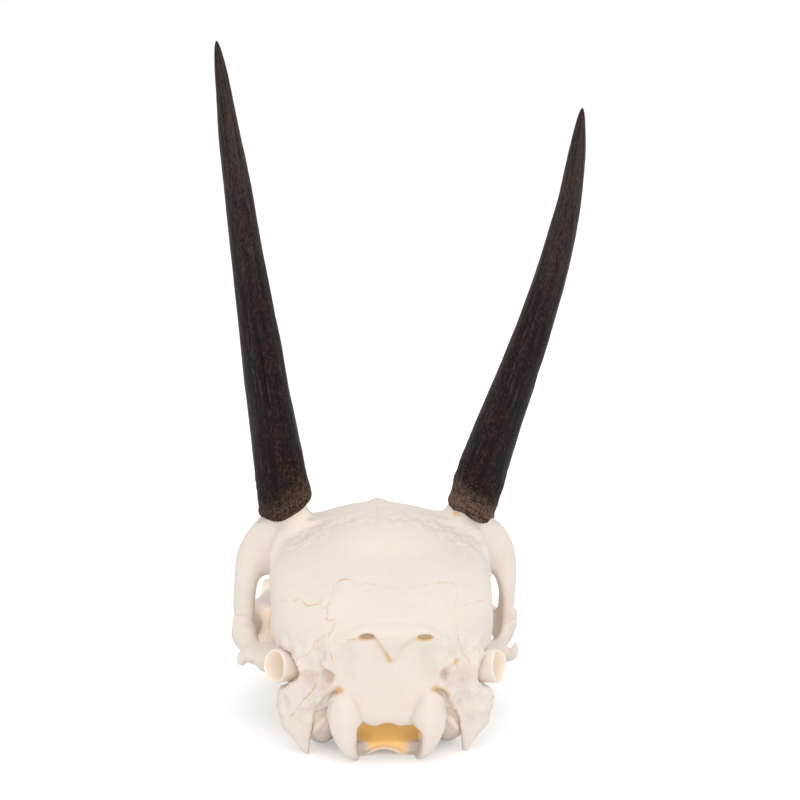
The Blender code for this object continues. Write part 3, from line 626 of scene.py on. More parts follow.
@dataclass(frozen=True)
class Occiput:
    """Back of the skull: crest, plate, condyles, base and the opening for the spinal cord."""

    plate: tuple = (
        (-12.4, 22.0), (-11.8, 27.4), (-10.4, 29.6), (-8.8, 30.5), (-6.9, 31.2), (-5.9, 32.0),
        (-4.9, 32.3), (-3.8, 31.8), (-2.7, 30.6), (-1.6, 29.2), (-0.6, 27.6), (0.3, 25.9),
        (1.1, 25.0), (2.2, 26.0), (3.6, 27.9), (5.2, 29.9), (6.8, 31.0), (8.2, 31.8),
        (9.6, 31.9), (10.8, 31.2), (12.5, 30.0), (13.8, 27.6), (14.4, 22.0), (13.0, 17.0),
        (8.0, 14.0), (0.0, 12.6), (-8.0, 14.0), (-12.0, 17.0),
    )
    foramen: tuple = (
        (-7.5, 8.8), (-7.1, 9.6), (-5.7, 9.8), (-4.6, 8.7), (-3.4, 8.3), (-2.0, 8.9), (-0.9, 9.4),
        (0.8, 9.5), (2.2, 8.8), (3.3, 8.0), (4.5, 7.6), (5.6, 7.9), (6.8, 8.6), (7.9, 8.6),
        (8.5, 7.6), (8.3, 4.0), (7.9, 1.6), (6.6, 0.4), (4.6, 0.6), (2.2, 1.7), (-0.5, 2.3),
        (-3.0, 1.8), (-5.2, 0.7), (-6.6, 0.7), (-7.3, 2.6),
    )
    condyle: tuple = (
        (11.0, 17.6), (12.8, 16.9), (14.0, 15.0), (14.5, 12.8), (14.4, 10.6), (13.8, 7.8),
        (12.4, 4.9), (10.0, 1.9), (8.3, 0.2), (7.2, -0.2), (6.6, 1.0), (7.5, 3.0), (7.5, 6.0),
        (7.2, 8.8), (6.0, 10.4), (7.0, 13.4), (8.6, 16.4),
    )
    base: tuple = (
        (8.9, 9.4, 0.9, 2.6, -0.9, 4.0), (12.0, 9.6, 1.6, 3.8, -0.4, 3.6),
        (17.0, 9.0, 3.4, 6.0, 1.0, 3.0), (24.0, 7.6, 6.2, 9.4, 3.2, 2.6),
        (31.0, 6.4, 9.2, 12.6, 6.6, 2.4), (36.0, 5.6, 11.0, 14.0, 9.0, 2.2),
    )
    condyle_level: float = 9.0
    condyle_root: tuple = ((10.8, 8.4, 8.4), (2.6, 6.0, 7.2))
    root_turn: float = 14.0
    recess: tuple = (
        (11.6, 17.4), (13.2, 17.5), (15.0, 15.9), (16.8, 12.9), (17.9, 9.0), (18.6, 5.0),
        (19.4, -1.0), (12.0, -2.0), (12.0, 3.0), (13.0, 8.0), (13.4, 12.0), (12.6, 15.4),
        (11.0, 16.6),
    )
    recess_wall: tuple = ((12.0, 10.6, 18.0, 1.6), (14.0, 11.8, 14.8, 2.0), (16.4, 12.8, 12.4, 1.8))
    crest: tuple = (
        (-14.2, 7.8, 27.4, 0.9), (-10.5, 5.7, 30.4, 1.0), (-5.0, 6.0, 32.2, 1.4),
        (0.6, 6.2, 31.4, 1.8), (9.2, 6.0, 31.9, 1.4), (12.8, 5.9, 29.9, 1.0), (15.6, 8.0, 27.0, 0.9),
    )
    crest_point: tuple = ((0.6, 6.2, 31.0, 2.6), (0.7, 5.2, 26.2, 0.8))
    arches: tuple = ((-4.9, 31.8), (9.3, 31.35))
    arch: Point = (2.0, 2.6, 0.7)
    arch_ends: tuple = ((-3.2, 4.4, -1.0, 0.3), (-1.4, 5.0, -0.3, 0.5), (1.4, 5.0, -0.4, 0.5),
                        (2.9, 4.6, -1.8, 0.3))
    groove: tuple = ((-0.6, 4.0, -3.4, 4.9), (-0.6, 12.0, -3.4, 4.9), (-0.4, 20.0, -3.8, 5.0))
    keel: tuple = ((0.0, 22.0, 7.4, 2.6), (0.0, 34.0, 12.4, 4.6), (0.0, 52.0, 16.5, 4.4))
    channels: tuple = ((-3.9, 5.6), (0.3, 6.2), (4.6, 5.4))
    channel: tuple = ((1.0, 6.0, 0.0, 2.9), (1.05, 12.0, 1.9, 3.4), (1.1, 17.0, 4.6, 4.0))
    brain: tuple = ((0.0, 21.0, 17.6), (10.5, 10.5, 10.0))

    def model(self, clay: Clay) -> None:
        """Adds crest, base and condyles, and sinks the plate under the crest."""
        clay.add(Rod(self.crest), blend=2.4)
        clay.add(Rod(self.crest_point), blend=2.4)
        clay.add(Loft(self.base), blend=1.0)
        clay.cut(Rod(self.groove), blend=0.8)
        clay.add(Rod(self.keel), blend=3.0)
        clay.cut(Slab(self.plate, at=1.3, thick=8.0, edge=0.2, level=31.0, lean=0.06), blend=1.5)
        for x, height in self.arches:
            clay.cut(Ball((x, 5.0, height), self.arch), blend=0.35)
            ends = [(x + aside, y, height + up, radius) for aside, y, up, radius in self.arch_ends]
            clay.cut(Rod(ends), blend=0.4)
        for side in Side:
            clay.cut(Slab(on_side(self.recess, side), at=7.6, thick=10.0, edge=0.5), blend=0.9)
            self.model_condyle(clay, side)
            clay.add(Rod(on_side(self.recess_wall, side)), blend=1.2)

    def model_condyle(self, clay: Clay, side: Side) -> None:
        """Adds one crescent condyle, bent forward at its top and bottom, with its root."""
        at, radii = self.condyle_root
        turn = (0.0, self.root_turn * side.value, 0.0)
        clay.add(Ball(mirrored(at, side), radii, turn), blend=0.8)
        clay.add(Slab(on_side(self.condyle, side), at=3.1, thick=6.2, edge=1.1,
                      level=self.condyle_level, bend=0.045, centre=10.2, bow=0.17), blend=0.4)

    def open_foramen(self, clay: Clay) -> None:
        """Cuts the way for the spinal cord, three channels side by side, and the brain's hollow."""
        clay.cut(Slab(self.foramen, at=2.0, thick=16.4, edge=0.15), blend=0.5)
        for x, height in self.channels:
            way = [(x * spread, y, height + up, radius) for spread, y, up, radius in self.channel]
            clay.cut(Rod(way), blend=0.8)
        clay.cut(Ball(*self.brain), blend=0.8)


@dataclass(frozen=True)
class Mastoid:
    """Ridge beside the occiput with the pointed process in front of the condyle."""

    side: Side
    blade: tuple = (
        (14.9, 15.6), (17.0, 13.0), (17.9, 9.1), (18.6, 5.0), (18.9, 1.2), (19.3, -0.7),
        (20.3, 0.4), (22.1, 3.3), (24.5, 5.4), (25.9, 8.1), (26.3, 12.0), (26.3, 16.0),
        (26.0, 20.0), (23.0, 24.0), (18.0, 24.0), (15.0, 20.0),
    )
    process: tuple = (
        (20.4, 11.6, 22.0, 3.4), (22.4, 13.6, 15.0, 3.4), (23.0, 13.4, 8.4, 2.6),
        (21.2, 11.9, 4.0, 1.5), (19.9, 11.3, 0.6, 0.6),
    )
    outer_ridges: tuple = (
        (2.5, ((21.4, 14.6, 24.6, 2.6), (24.4, 16.8, 15.0, 1.8), (24.6, 15.6, 8.0, 1.4))),
        (1.4, ((14.4, 8.4, 28.8, 1.0), (13.6, 7.4, 26.0, 1.0), (13.0, 7.0, 23.6, 0.5))),
    )
    hollows: tuple = (
        (1.2, (19.2, 8.0, 19.8), (2.9, 1.9, 2.9)), (1.6, (9.4, 2.6, 24.6), (3.2, 3.5, 6.6)),
    )
    inner_ridges: tuple = (
        (0.9, ((14.6, 7.4, 30.4, 0.5), (13.9, 6.6, 28.0, 0.8), (13.1, 6.2, 25.0, 0.8),
               (12.6, 5.9, 22.2, 0.4))),
        (0.7, ((16.2, 7.2, 24.6, 0.6), (14.8, 6.6, 24.2, 0.7), (13.2, 6.2, 23.2, 0.6))),
    )
    pit: tuple = (0.6, (14.5, 7.4, 21.4), (1.3, 1.9, 1.9))

    def model(self, clay: Clay) -> None:
        """Adds the process and the ridges, each with its blend, and sinks hollows between them."""
        clay.add(Rod(on_side(self.process, self.side), face=(0.0, 1.0, 0.0), flat=1.25), blend=2.0)
        for blend, points in self.outer_ridges:
            clay.add(Rod(on_side(points, self.side)), blend)
        for blend, at, radii in self.hollows:
            clay.cut(Ball(mirrored(at, self.side), radii), blend)
        for blend, points in self.inner_ridges:
            clay.add(Rod(on_side(points, self.side)), blend)
        blend, at, radii = self.pit
        clay.cut(Ball(mirrored(at, self.side), radii), blend)

    def add_blade(self, clay: Clay) -> None:
        """Adds the slim pointed blade beside the recess in front of the condyle."""
        clay.add(Slab(on_side(self.blade, self.side), at=5.7, thick=2.6, edge=1.0,
                      level=10.0, lean=-0.05, across=0.32), blend=1.0)


@dataclass(frozen=True)
class Cheek:
    """Bar behind the orbit, orbit rim, cheek arch and jaw hinge of one side.

    The spread multiplies each x, and the tuck moves the lower end inward. Spurs and notches
    are places of one side only.
    """

    spread: float
    tuck: float
    spurs: tuple
    notches: tuple
    rim: tuple = (
        (26.5, 61.0, 49.8), (30.2, 54.0, 47.4), (33.0, 49.5, 43.6), (34.4, 47.2, 38.0),
        (34.8, 46.6, 32.0), (35.0, 48.4, 26.4), (34.7, 53.5, 22.4), (33.7, 60.0, 21.0),
        (31.8, 67.0, 20.8), (28.4, 73.6, 21.4), (25.4, 77.6, 27.4), (24.0, 77.4, 36.0),
        (23.6, 72.6, 45.8), (24.6, 67.4, 49.0),
    )
    rim_radius: float = 1.7
    bar: tuple = ((29.0, 50.5, 46.0, 3.2), (32.6, 47.6, 41.0, 3.2), (33.6, 45.8, 34.0, 3.0),
                  (34.0, 45.2, 27.0, 3.0))
    bar_top: tuple = ((29.4, 47.0, 43.2), (5.4, 2.6, 7.2))
    hinge: tuple = ((27.0, 35.0, 18.4, 2.6), (32.0, 38.0, 18.6, 2.6), (34.2, 43.0, 21.4, 2.8))
    arch: tuple = ((34.2, 43.4, 21.8, 3.0), (34.0, 51.0, 20.6, 3.2), (32.8, 60.0, 19.4, 3.4),
                   (29.8, 68.0, 19.2, 3.8), (25.0, 77.0, 20.0, 3.4))
    lumps: tuple = (
        (3.0, (25.4, 69.0, 16.6), (8.4, 9.5, 7.6)), (3.0, (28.4, 35.0, 18.6), (6.4, 5.2, 2.4)),
        (1.6, (27.0, 31.6, 17.0), (4.2, 1.9, 2.2)), (1.6, (33.2, 35.0, 18.8), (2.0, 2.4, 2.0)),
    )
    tuck_level: float = 18.0
    tuck_height: float = 22.0

    def placed(self, point: Sequence[float]) -> tuple[float, ...]:
        """The point on this side, spread and tucked in."""
        up = min(max(point[2] - self.tuck_level, 0.0) / self.tuck_height, 1.0)
        return (point[0] * self.spread + self.tuck * (1 - up), *point[1:])

    def model(self, clay: Clay) -> None:
        """Adds the rods and lumps of the cheek to the clay."""
        rim = [self.placed((*point, self.rim_radius)) for point in self.rim]
        clay.add(Rod(rim, closed=True), blend=2.0)
        clay.add(Rod([self.placed(p) for p in self.bar]), blend=2.5)
        at, radii = self.bar_top
        clay.add(Ball(self.placed(at), radii), blend=2.5)
        for path in (self.hinge, self.arch):
            clay.add(Rod([self.placed(p) for p in path]), blend=3.0)
        for blend, at, radii in self.lumps:
            clay.add(Ball(self.placed(at), radii), blend)
        for path in self.spurs:
            clay.add(Rod(path), blend=0.9)
        for at, radii in self.notches:
            clay.cut(Ball(at, radii), blend=0.6)


@dataclass(frozen=True)
class Tooth:
    """One cheek tooth of the right row: place, size, number of lobes and turn in degrees."""

    x: float
    y: float
    width: float
    length: float
    lobes: int
    turn: float


CHEEK_TEETH = (
    Tooth(12.9, 95.5, 4.6, 5.6, 1, 9.0), Tooth(14.2, 89.4, 5.6, 6.0, 1, 9.0),
    Tooth(15.6, 83.0, 6.8, 6.2, 1, 9.0), Tooth(17.2, 75.8, 8.0, 7.8, 2, 4.0),
    Tooth(18.4, 67.8, 8.6, 8.2, 2, 4.0), Tooth(18.8, 59.4, 8.2, 8.4, 2, 4.0),
)


@dataclass(frozen=True)
class Muzzle:
    """Upper jaws, nose and palate, and the hollows in them, each with its turn in degrees."""

    run: tuple = (
        (64.0, 17.0, 18.0, 24.0, 9.5, 2.6), (70.0, 21.0, 21.0, 34.0, 9.5, 2.6),
        (75.0, 24.4, 27.0, 44.6, 9.5, 2.7), (80.0, 24.4, 27.0, 44.4, 9.5, 2.5),
        (85.0, 21.4, 23.0, 42.8, 9.2, 2.3), (90.0, 18.6, 20.0, 40.8, 9.0, 2.3),
        (97.0, 15.6, 17.5, 38.0, 8.6, 2.7), (104.0, 12.4, 16.0, 35.2, 8.2, 3.2),
        (112.0, 9.9, 14.5, 32.0, 7.2, 3.2), (120.0, 8.6, 12.5, 28.6, 5.6, 3.0),
        (128.0, 7.4, 9.5, 19.5, 4.0, 2.5), (134.0, 6.6, 6.5, 11.0, 2.8, 2.4),
        (SKULL_LENGTH, 4.6, 4.6, 6.6, 2.4, 2.2),
    )
    orbit: tuple = ((28.0, 62.6, 35.4), (17.4, 14.4, 11.4))
    orbit_turn: float = -14.0
    tear_plate: tuple = ((30.6, 20.0), (30.2, 22.2), (29.6, 24.8), (29.0, 27.4), (28.0, 27.1),
                         (26.4, 27.2), (25.4, 24.0), (25.6, 20.0))
    hollows: tuple = (
        (1.6, (28.7, 42.0, 28.4), (3.2, 9.0, 8.8), 0.0),
        (2.0, (27.5, 48.0, 12.0), (8.6, 11.0, 7.4), 0.0),
        (2.5, (24.0, 88.0, 31.0), (5.2, 8.0, 7.6), 20.0),
    )
    slot: tuple = ((2.6, 114.0, 5.0, 1.2), (2.9, 122.0, 3.6, 1.3), (2.6, 129.0, 3.0, 0.9))
    palate: tuple = ((0.0, 56.0, 4.0, 7.0), (0.0, 78.0, 4.6, 8.6), (0.0, 96.0, 5.0, 7.0),
                     (0.0, 112.0, 3.2, 4.0))
    throat: tuple = ((0.0, 44.0, 7.0, 4.2), (0.0, 54.0, 10.0, 4.4), (0.0, 66.0, 13.5, 4.0))
    nose: tuple = ((0.0, 94.0, 25.0, 6.0), (0.0, 106.0, 23.0, 6.4), (0.0, 118.0, 18.0, 6.2),
                   (0.0, 128.0, 13.6, 5.6), (0.0, 136.0, 9.6, 4.4), (0.0, 146.0, 8.0, 4.4))

    def model(self, clay: Clay) -> None:
        """Adds the muzzle and the walls that hold the teeth."""
        clay.add(Loft(self.run, under=2.8), blend=3.0)
        for side in Side:
            wall = [(side.value * t.x, t.y, 13.0, t.width / 2 + 1.0) for t in CHEEK_TEETH]
            clay.add(Rod(wall), blend=2.5)

    def hollow(self, clay: Clay) -> None:
        """Cuts the orbits, the hollows round them, the nose, the palate and the throat."""
        for side in Side:
            at, radii = self.orbit
            clay.cut(Ball(mirrored(at, side), radii, (0.0, 0.0, self.orbit_turn * side.value)),
                     blend=1.6)
            clay.add(Slab(on_side(self.tear_plate, side), at=77.0, thick=1.0, edge=0.3), blend=0.6)
            for blend, at, radii, turn in self.hollows:
                clay.cut(Ball(mirrored(at, side), radii, (0.0, 0.0, turn * side.value)), blend)
            clay.cut(Rod(on_side(self.slot, side)), blend=0.8)
        for path, blend in ((self.palate, 1.8), (self.throat, 1.2), (self.nose, 0.8)):
            clay.cut(Rod(path), blend)


@dataclass(frozen=True)
class EarBone:
    """Ear capsule under the braincase, its neck and the open bony tube of one side."""

    side: Side
    mouth: Point
    way: Point
    capsule: Point = (15.8, 19.6, 7.8)
    capsule_radii: Point = (5.2, 8.4, 7.2)
    length: float = 8.6
    radius: float = 4.1
    wall: float = 0.42
    neck: tuple = ((16.4, 20.2, 9.0, 4.2), (20.4, 21.4, 19.0, 3.2))
    grid: tuple[Point, Point] = ((9.5, 9.0, -0.5), (26.0, 29.5, 27.0))
    play: float = 0.35
    step: float = 0.3
    dull: float = 0.12
    around: int = 120
    outer_rows: int = 40
    inner_rows: int = 32
    lip_rows: int = 5
    folds: tuple = (
        ((13.4, 13.6, 0.5), (16.4, 12.2, 0.9), (18.6, 9.4, 0.8), (19.7, 6.4, 0.4)),
        ((13.0, 10.0, 0.4), (15.6, 8.8, 0.7), (17.6, 5.8, 0.7), (18.6, 3.2, 0.4)),
    )

    def shapes(self, spare: float) -> list[Form]:
        """Capsule and neck, each made larger by the spare."""
        neck = [(*p[:3], p[3] + spare) for p in self.neck]
        radii = tuple(radius + spare for radius in self.capsule_radii)
        return [Ball(mirrored(self.capsule, self.side), radii), Rod(on_side(neck, self.side))]

    def at(self, ahead: float) -> Array:
        """A point on the tube's middle line, so far ahead of its mouth."""
        way = np.array(self.way) / np.linalg.norm(self.way)
        return np.array(mirrored(tuple(np.array(self.mouth) + ahead * way), self.side))

    def cut_socket(self, clay: Clay) -> None:
        """Makes room for the ear bone in the braincase."""
        for form in self.shapes(self.play):
            clay.cut(form, blend=0.4)
        clay.cut(Rod([(*self.at(-7.0), self.radius), (*self.at(-4.0), self.radius + 0.2),
                      (*self.at(3.0), self.radius + 1.0)]), blend=1.6)
        beside = (self.mouth[0] - 1.0, self.mouth[1], self.mouth[2] - 0.3)
        clear = [(*beside, self.radius + 0.3), (beside[0] + 0.6, 2.0, beside[2], self.radius + 0.6)]
        clay.cut(Rod(on_side(clear, self.side)), blend=1.4)

    def tube(self) -> Surface:
        """The open tube: a profile of places along it and radii, turned about its middle line.

        Returns:
            The tube's surface, with a mask of painted light that is 1 inside its slim wall and dull
            outside it.
        """
        inner, half = self.radius - self.wall, self.wall / 2
        lip = [(half * math.cos(a), inner + half * (1 - math.sin(a)))
               for a in np.linspace(-1.2, 1.2, self.lip_rows)]
        outside = [(s, self.radius + 0.12 * math.exp(s / 1.5))
                   for s in np.linspace(-self.length + 0.6, -0.3, self.outer_rows)]
        inside = [(s, inner + 0.1 * math.exp(s / 1.2))
                  for s in np.linspace(-0.3, -7.0, self.inner_rows)]
        profile = [(-self.length - 1.0, self.radius - 0.8), (-self.length, self.radius - 0.2),
                   *outside, *lip, *inside, (-7.6, inner - 0.9), (-7.9, inner - 2.2)]
        angle = np.linspace(0, 2 * math.pi, self.around, endpoint=False)
        base = self.at(0.0)
        way = self.at(1.0) - base
        aside = np.cross(way, (0.0, 0.0, 1.0))
        aside = aside / np.linalg.norm(aside)
        third = np.cross(way, aside)
        circle = np.stack([np.cos(angle), np.sin(angle)], axis=1)
        wobble = Relief(31).rough(np.column_stack([circle * 2.0, 0 * angle]), 1.6)
        rows = []
        for place, radius in profile:
            spot = place + 0.4 * wobble * math.exp(place / 3.0)
            out = radius * (1 + 0.02 * wobble * math.exp(place / 4.0))
            around = (out[:, None] * circle) @ np.array([aside, third])
            rows.append(base + spot[:, None] * way + around)
        shape = Surface.wrapped(np.array(rows), self.at(-self.length - 1.3), self.at(-8.0))
        # Painted shine: full on the inner half of the lip and inside the tube, dimmed on its outside
        # near the mouth, none further back.
        thin = np.array([float(place > -6.5) for place, _ in profile])
        rim = 2 + self.outer_rows + self.lip_rows // 2
        thin[:rim + 1] *= self.dull
        shape.masks["thin"] = np.append(np.repeat(thin, self.around), (0.0, 0.0))
        shape.masks["hollow"] = np.full(len(shape.points), -0.2)
        shape.push(Relief(33).rough(shape.points, 2.0) * 0.03)
        return shape

    def clay(self) -> Clay:
        """The ear capsule in a fine grid of its own."""
        low, high = (np.array(corner) for corner in self.grid)
        if self.side is Side.LEFT:
            low[0], high[0] = -high[0], -low[0]
        clay = Clay(low, high, self.step * (1))
        for form in self.shapes(0.0):
            clay.add(form, blend=1.5)
        for fold in self.folds:
            path = [(x, self.capsule_back(x, z), z, radius) for x, z, radius in fold]
            clay.add(Rod(on_side(path, self.side)), blend=0.9)
        return clay

    def capsule_back(self, x: float, z: float) -> float:
        """Where the capsule's surface is behind a place in x and z."""
        aside = (x - self.capsule[0]) / self.capsule_radii[0]
        up = (z - self.capsule[2]) / self.capsule_radii[2]
        part = max(1 - aside**2 - up**2, 0.0)
        return self.capsule[1] - self.capsule_radii[1] * math.sqrt(part)


# Sutures: each is a distance that is positive in the named bone


def wiggle(along_it: Array, size: float = 0.3) -> Array:
    """Uneven waves of a suture, as a sum of three sines of the place along it."""
    waves = np.sin(0.83 * along_it + 0.4) + 0.7 * np.sin(2.3 * along_it + 1.0)
    return size * (waves + 0.35 * np.sin(5.7 * along_it + 2.0))


@dataclass(frozen=True)
class Sutures:
    """The seams that part the cranium into bones, which lap a little inside each other."""

    lap: float = 1.6

    def frontal(self, x: Array, y: Array, z: Array) -> Array:
        """In front of the plane that stands behind the brow ridge."""
        return (y - 41.6 + 4.4 * (x / 26.0) ** 2 - 0.1 * (z - 50.0)) / 1.1

    def face(self, x: Array, y: Array, z: Array) -> Array:
        """In front of the plane from the brow down to the throat."""
        return (y - 80.0 + 0.78 * (48.0 - z) + wiggle(x, 0.15)) / math.hypot(1, 0.78)

    def cheekbone(self, x: Array, y: Array, z: Array) -> Array:
        """Outside the jaw, below the bar and in front of the jaw hinge."""
        outside = (np.abs(x) - 24.5 - 0.5 * (y - 60.0) + wiggle(y, 0.15)) / math.hypot(1, 0.5)
        level = 27.2 - 0.75 * (np.abs(x) - 34.5) + wiggle(x, 0.25)
        ahead = (y - 42.0 - 0.8 * (z - 22.0) + wiggle(z, 0.15)) / math.hypot(1, 0.8)
        return np.minimum(np.minimum(outside, (level - z) / math.hypot(1, 0.75)), ahead)

    def nose(self, x: Array, y: Array, z: Array) -> Array:
        """In the two nasal bones, a roof plate with a pointed back end."""
        above = (z - 40.2 + 0.405 * (y - 82.0)) / math.hypot(1, 0.405)
        wedge = (3.0 + 0.62 * (y - 80.0) - np.abs(x) + wiggle(y, 0.1)) / math.hypot(1, 0.62)
        return np.minimum(np.minimum(above, wedge), np.minimum(7.6 - np.abs(x), self.face(x, y, z)))

    def lip(self, x: Array, y: Array, z: Array) -> Array:
        """In front of the slanting plane between upper jaw and premaxilla."""
        return (y - 106.0 - 0.44 * (31.0 - z) + wiggle(z, 0.12)) / math.hypot(1, 0.44)

    def region(self, name: str) -> Callable[[Array, Array, Array], Array]:
        """The distance that is positive in a bone, by the bone's name."""
        least = np.minimum
        side = {"left": -1, "right": 1}.get(name.rpartition("_")[2], 0)
        kind = name.partition("_")[0]

        def inside(x: Array, y: Array, z: Array) -> Array:
            """The least of the distances that bound the bone."""
            face, cheek = self.face(x, y, z), self.cheekbone(x, y, z)
            if kind in ("brow", "braincase"):
                own = self.frontal(x, y, z)
                found = least(least(-face, -cheek), own if kind == "brow" else -own)
            elif kind == "cheekbone":
                found = cheek
            else:
                nose, lip = self.nose(x, y, z), self.lip(x, y, z)
                found = {"nasal": nose, "premaxilla": least(lip, -nose),
                         "face": least(least(face, -cheek), least(-nose, -lip))}[kind]
            return least(found, side * x) if side else found

        return inside


# The bones' meshes


class BoneName(Enum):
    """Every bone that is parted from the cranium."""

    BROW = "brow"
    BRAINCASE = "braincase_rear"
    CHEEKBONE_LEFT = "cheekbone_left"
    CHEEKBONE_RIGHT = "cheekbone_right"
    FACE = "face"
    NASAL_LEFT = "nasal_left"
    NASAL_RIGHT = "nasal_right"
    PREMAXILLA_LEFT = "premaxilla_left"
    PREMAXILLA_RIGHT = "premaxilla_right"

    @property
    def node(self) -> str:
        """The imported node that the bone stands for: brow and braincase share one."""
        return "braincase" if self in (BoneName.BROW, BoneName.BRAINCASE) else self.value

    @property
    def at_front(self) -> bool:
        """Whether the bone belongs to the face, on the coarser grid."""
        return self.value.startswith(("face", "nasal", "premaxilla"))


@dataclass(frozen=True)
class Patch:
    """A patch along a path of points (x, y, z, radius), with its strength."""

    path: tuple
    strength: float

    def share(self, points: Array) -> Array:
        """How strongly the patch covers each point, fading over its radius."""
        corners = np.array(self.path, float)
        if len(corners) == 1:
            corners = np.vstack([corners, corners])
        most = np.zeros(len(points))
        for start, end in zip(corners[:-1], corners[1:]):
            run = end[:3] - start[:3]
            t = np.clip((points - start[:3]) @ run / max(run @ run, 1e-9), 0, 1)
            away = np.linalg.norm(points - start[:3] - t[:, None] * run, axis=1)
            radius = start[3] + t * (end[3] - start[3])
            most = np.maximum(most, 1 - eased(0.25, 1.0, away / radius))
        return self.strength * most


def patches(*rows: Sequence) -> tuple[Patch, ...]:
    """Patches from rows of a strength and the points of a path."""
    return tuple(Patch(tuple(path), strength) for strength, *path in rows)


# Where the bone is amber from stains and painted shade, where painted shade lies on it, and where
# painted light stands for light that shines through slim bone

# Amber: stains, and painted shade in the crest's notches, over the condyles and in the bars' recesses.
AMBER_STAINS_AND_SHADE = patches(
    (0.3, (-3.0, 4.6, 30.8, 1.2), (-1.0, 4.6, 28.4, 1.3), (0.6, 5.0, 26.4, 1.4)),
    (0.85, (-0.5, 4.4, 27.3, 1.3), (0.4, 4.4, 25.9, 1.3)),
    (0.8, (-6.3, 5.8, 31.5, 1.3), (-4.0, 5.8, 31.8, 1.3)),
    (0.8, (8.2, 5.8, 31.2, 1.3), (10.4, 5.8, 31.2, 1.3)),
    (0.9, (-11.9, 6.0, 17.8, 1.8)),
    (0.8, (12.0, 6.0, 17.6, 1.8), (15.0, 7.0, 16.0, 1.2)),
    (0.45, (-9.2, 1.6, 10.8, 1.0)),
    (0.8, (8.9, 1.2, 9.6, 0.45)),
    (0.7, (-15.6, 8.0, 24.2, 1.2)),
    (0.7, (17.2, 8.0, 24.2, 1.2)),
    (0.35, (-13.8, 7.6, 21.0, 2.2)),
    (0.4, (-30.6, 47.0, 39.0, 3.0)),
    (0.4, (30.6, 47.0, 38.5, 3.0)),
    (0.9, (-25.6, 45.6, 47.6, 1.0)),
    (0.6, (-24.6, 46.4, 51.4, 1.4)),
    (0.6, (20.0, 46.4, 52.0, 1.4), (24.0, 45.6, 50.0, 1.2)),
)

# Painted shade: darker patches in the hollows, corners and recesses of the bone.
PAINTED_SHADE = patches(
    (0.42, (-14.3, 7.6, 21.4, 2.6), (-14.8, 8.2, 18.0, 2.4)),
    (0.6, (-19.0, 9.4, 20.0, 3.4)),
    (0.4, (15.2, 7.8, 20.8, 2.6), (15.8, 8.6, 17.6, 2.2)),
    (0.45, (19.0, 9.4, 19.6, 3.0)),
    (0.22, (-8.8, 5.6, 27.4, 2.6), (-9.4, 5.8, 22.0, 2.8)),
    (0.22, (9.8, 5.6, 27.4, 2.6), (10.4, 5.8, 22.0, 2.8)),
    (0.32, (-6.4, 12.0, 3.6, 4.6)),
    (0.35, (7.2, 12.0, 3.4, 4.6)),
    (0.5, (-16.2, 11.6, 12.6, 3.4), (-15.4, 12.0, 6.4, 3.2)),
    (0.5, (16.2, 11.6, 12.6, 3.4), (15.6, 12.0, 6.4, 3.2)),
    (0.6, (-30.0, 47.0, 38.6, 3.4)),
    (0.5, (29.6, 47.0, 38.6, 3.4)),
    (0.4, (-33.6, 42.0, 24.4, 2.0), (-31.4, 42.4, 25.6, 1.6)),
)

# Painted light: patches lit as if light came through the bone, on the orbits' walls, beside the
# condyles and at the horns' feet.
PAINTED_SHINE = patches(
    (1.0, (-29.0, 61.0, 20.0, 9.0)),
    (1.0, (-28.2, 77.0, 24.6, 4.0)),
    (0.7, (31.5, 54.0, 22.5, 8.0)),
    (0.35, (-12.8, 9.0, 16.6, 2.6), (-16.0, 12.0, 9.0, 4.5)),
    (0.35, (12.8, 9.0, 16.6, 2.6), (16.0, 12.0, 9.0, 4.5)),
    (0.9, (-20.0, 47.5, 50.5, 7.0)),
    (0.35, (20.5, 47.5, 50.5, 6.0)),
)


@dataclass(frozen=True)
class Crack:
    """A fine line on the bone through points (x, y, z), and how open it is."""

    path: tuple
    gap: float
    depth: float = 3.5

    def measure(self, points: Array) -> tuple[Array, Array]:
        """Distances from the line, measured across the view from behind.

        Args:
            points: Points on the bone, one a row.

        Returns:
            For each point its distance, positive on the line's left, and how open the line is,
            which fades to zero away from it.
        """
        corners = np.array(self.path)
        least, signed = np.full(len(points), LINE_REACH), np.full(len(points), LINE_REACH)
        for start, end in zip(corners[:-1], corners[1:]):
            run, ahead = (end - start)[[0, 2]], points[:, [0, 2]] - start[[0, 2]]
            t = np.clip(ahead @ run / max(run @ run, 1e-9), 0, 1)
            away = np.linalg.norm(ahead - t[:, None] * run, axis=1)
            level = np.abs(points[:, 1] - start[1] - t * (end[1] - start[1]))
            away = away + np.maximum(level - self.depth, 0)
            side = np.sign(run[0] * ahead[:, 1] - run[1] * ahead[:, 0])
            closer = away < least
            least = np.where(closer, away, least)
            signed = np.where(closer, away * side, signed)
        return signed, self.gap * (1 - eased(0.5, 0.85, least))


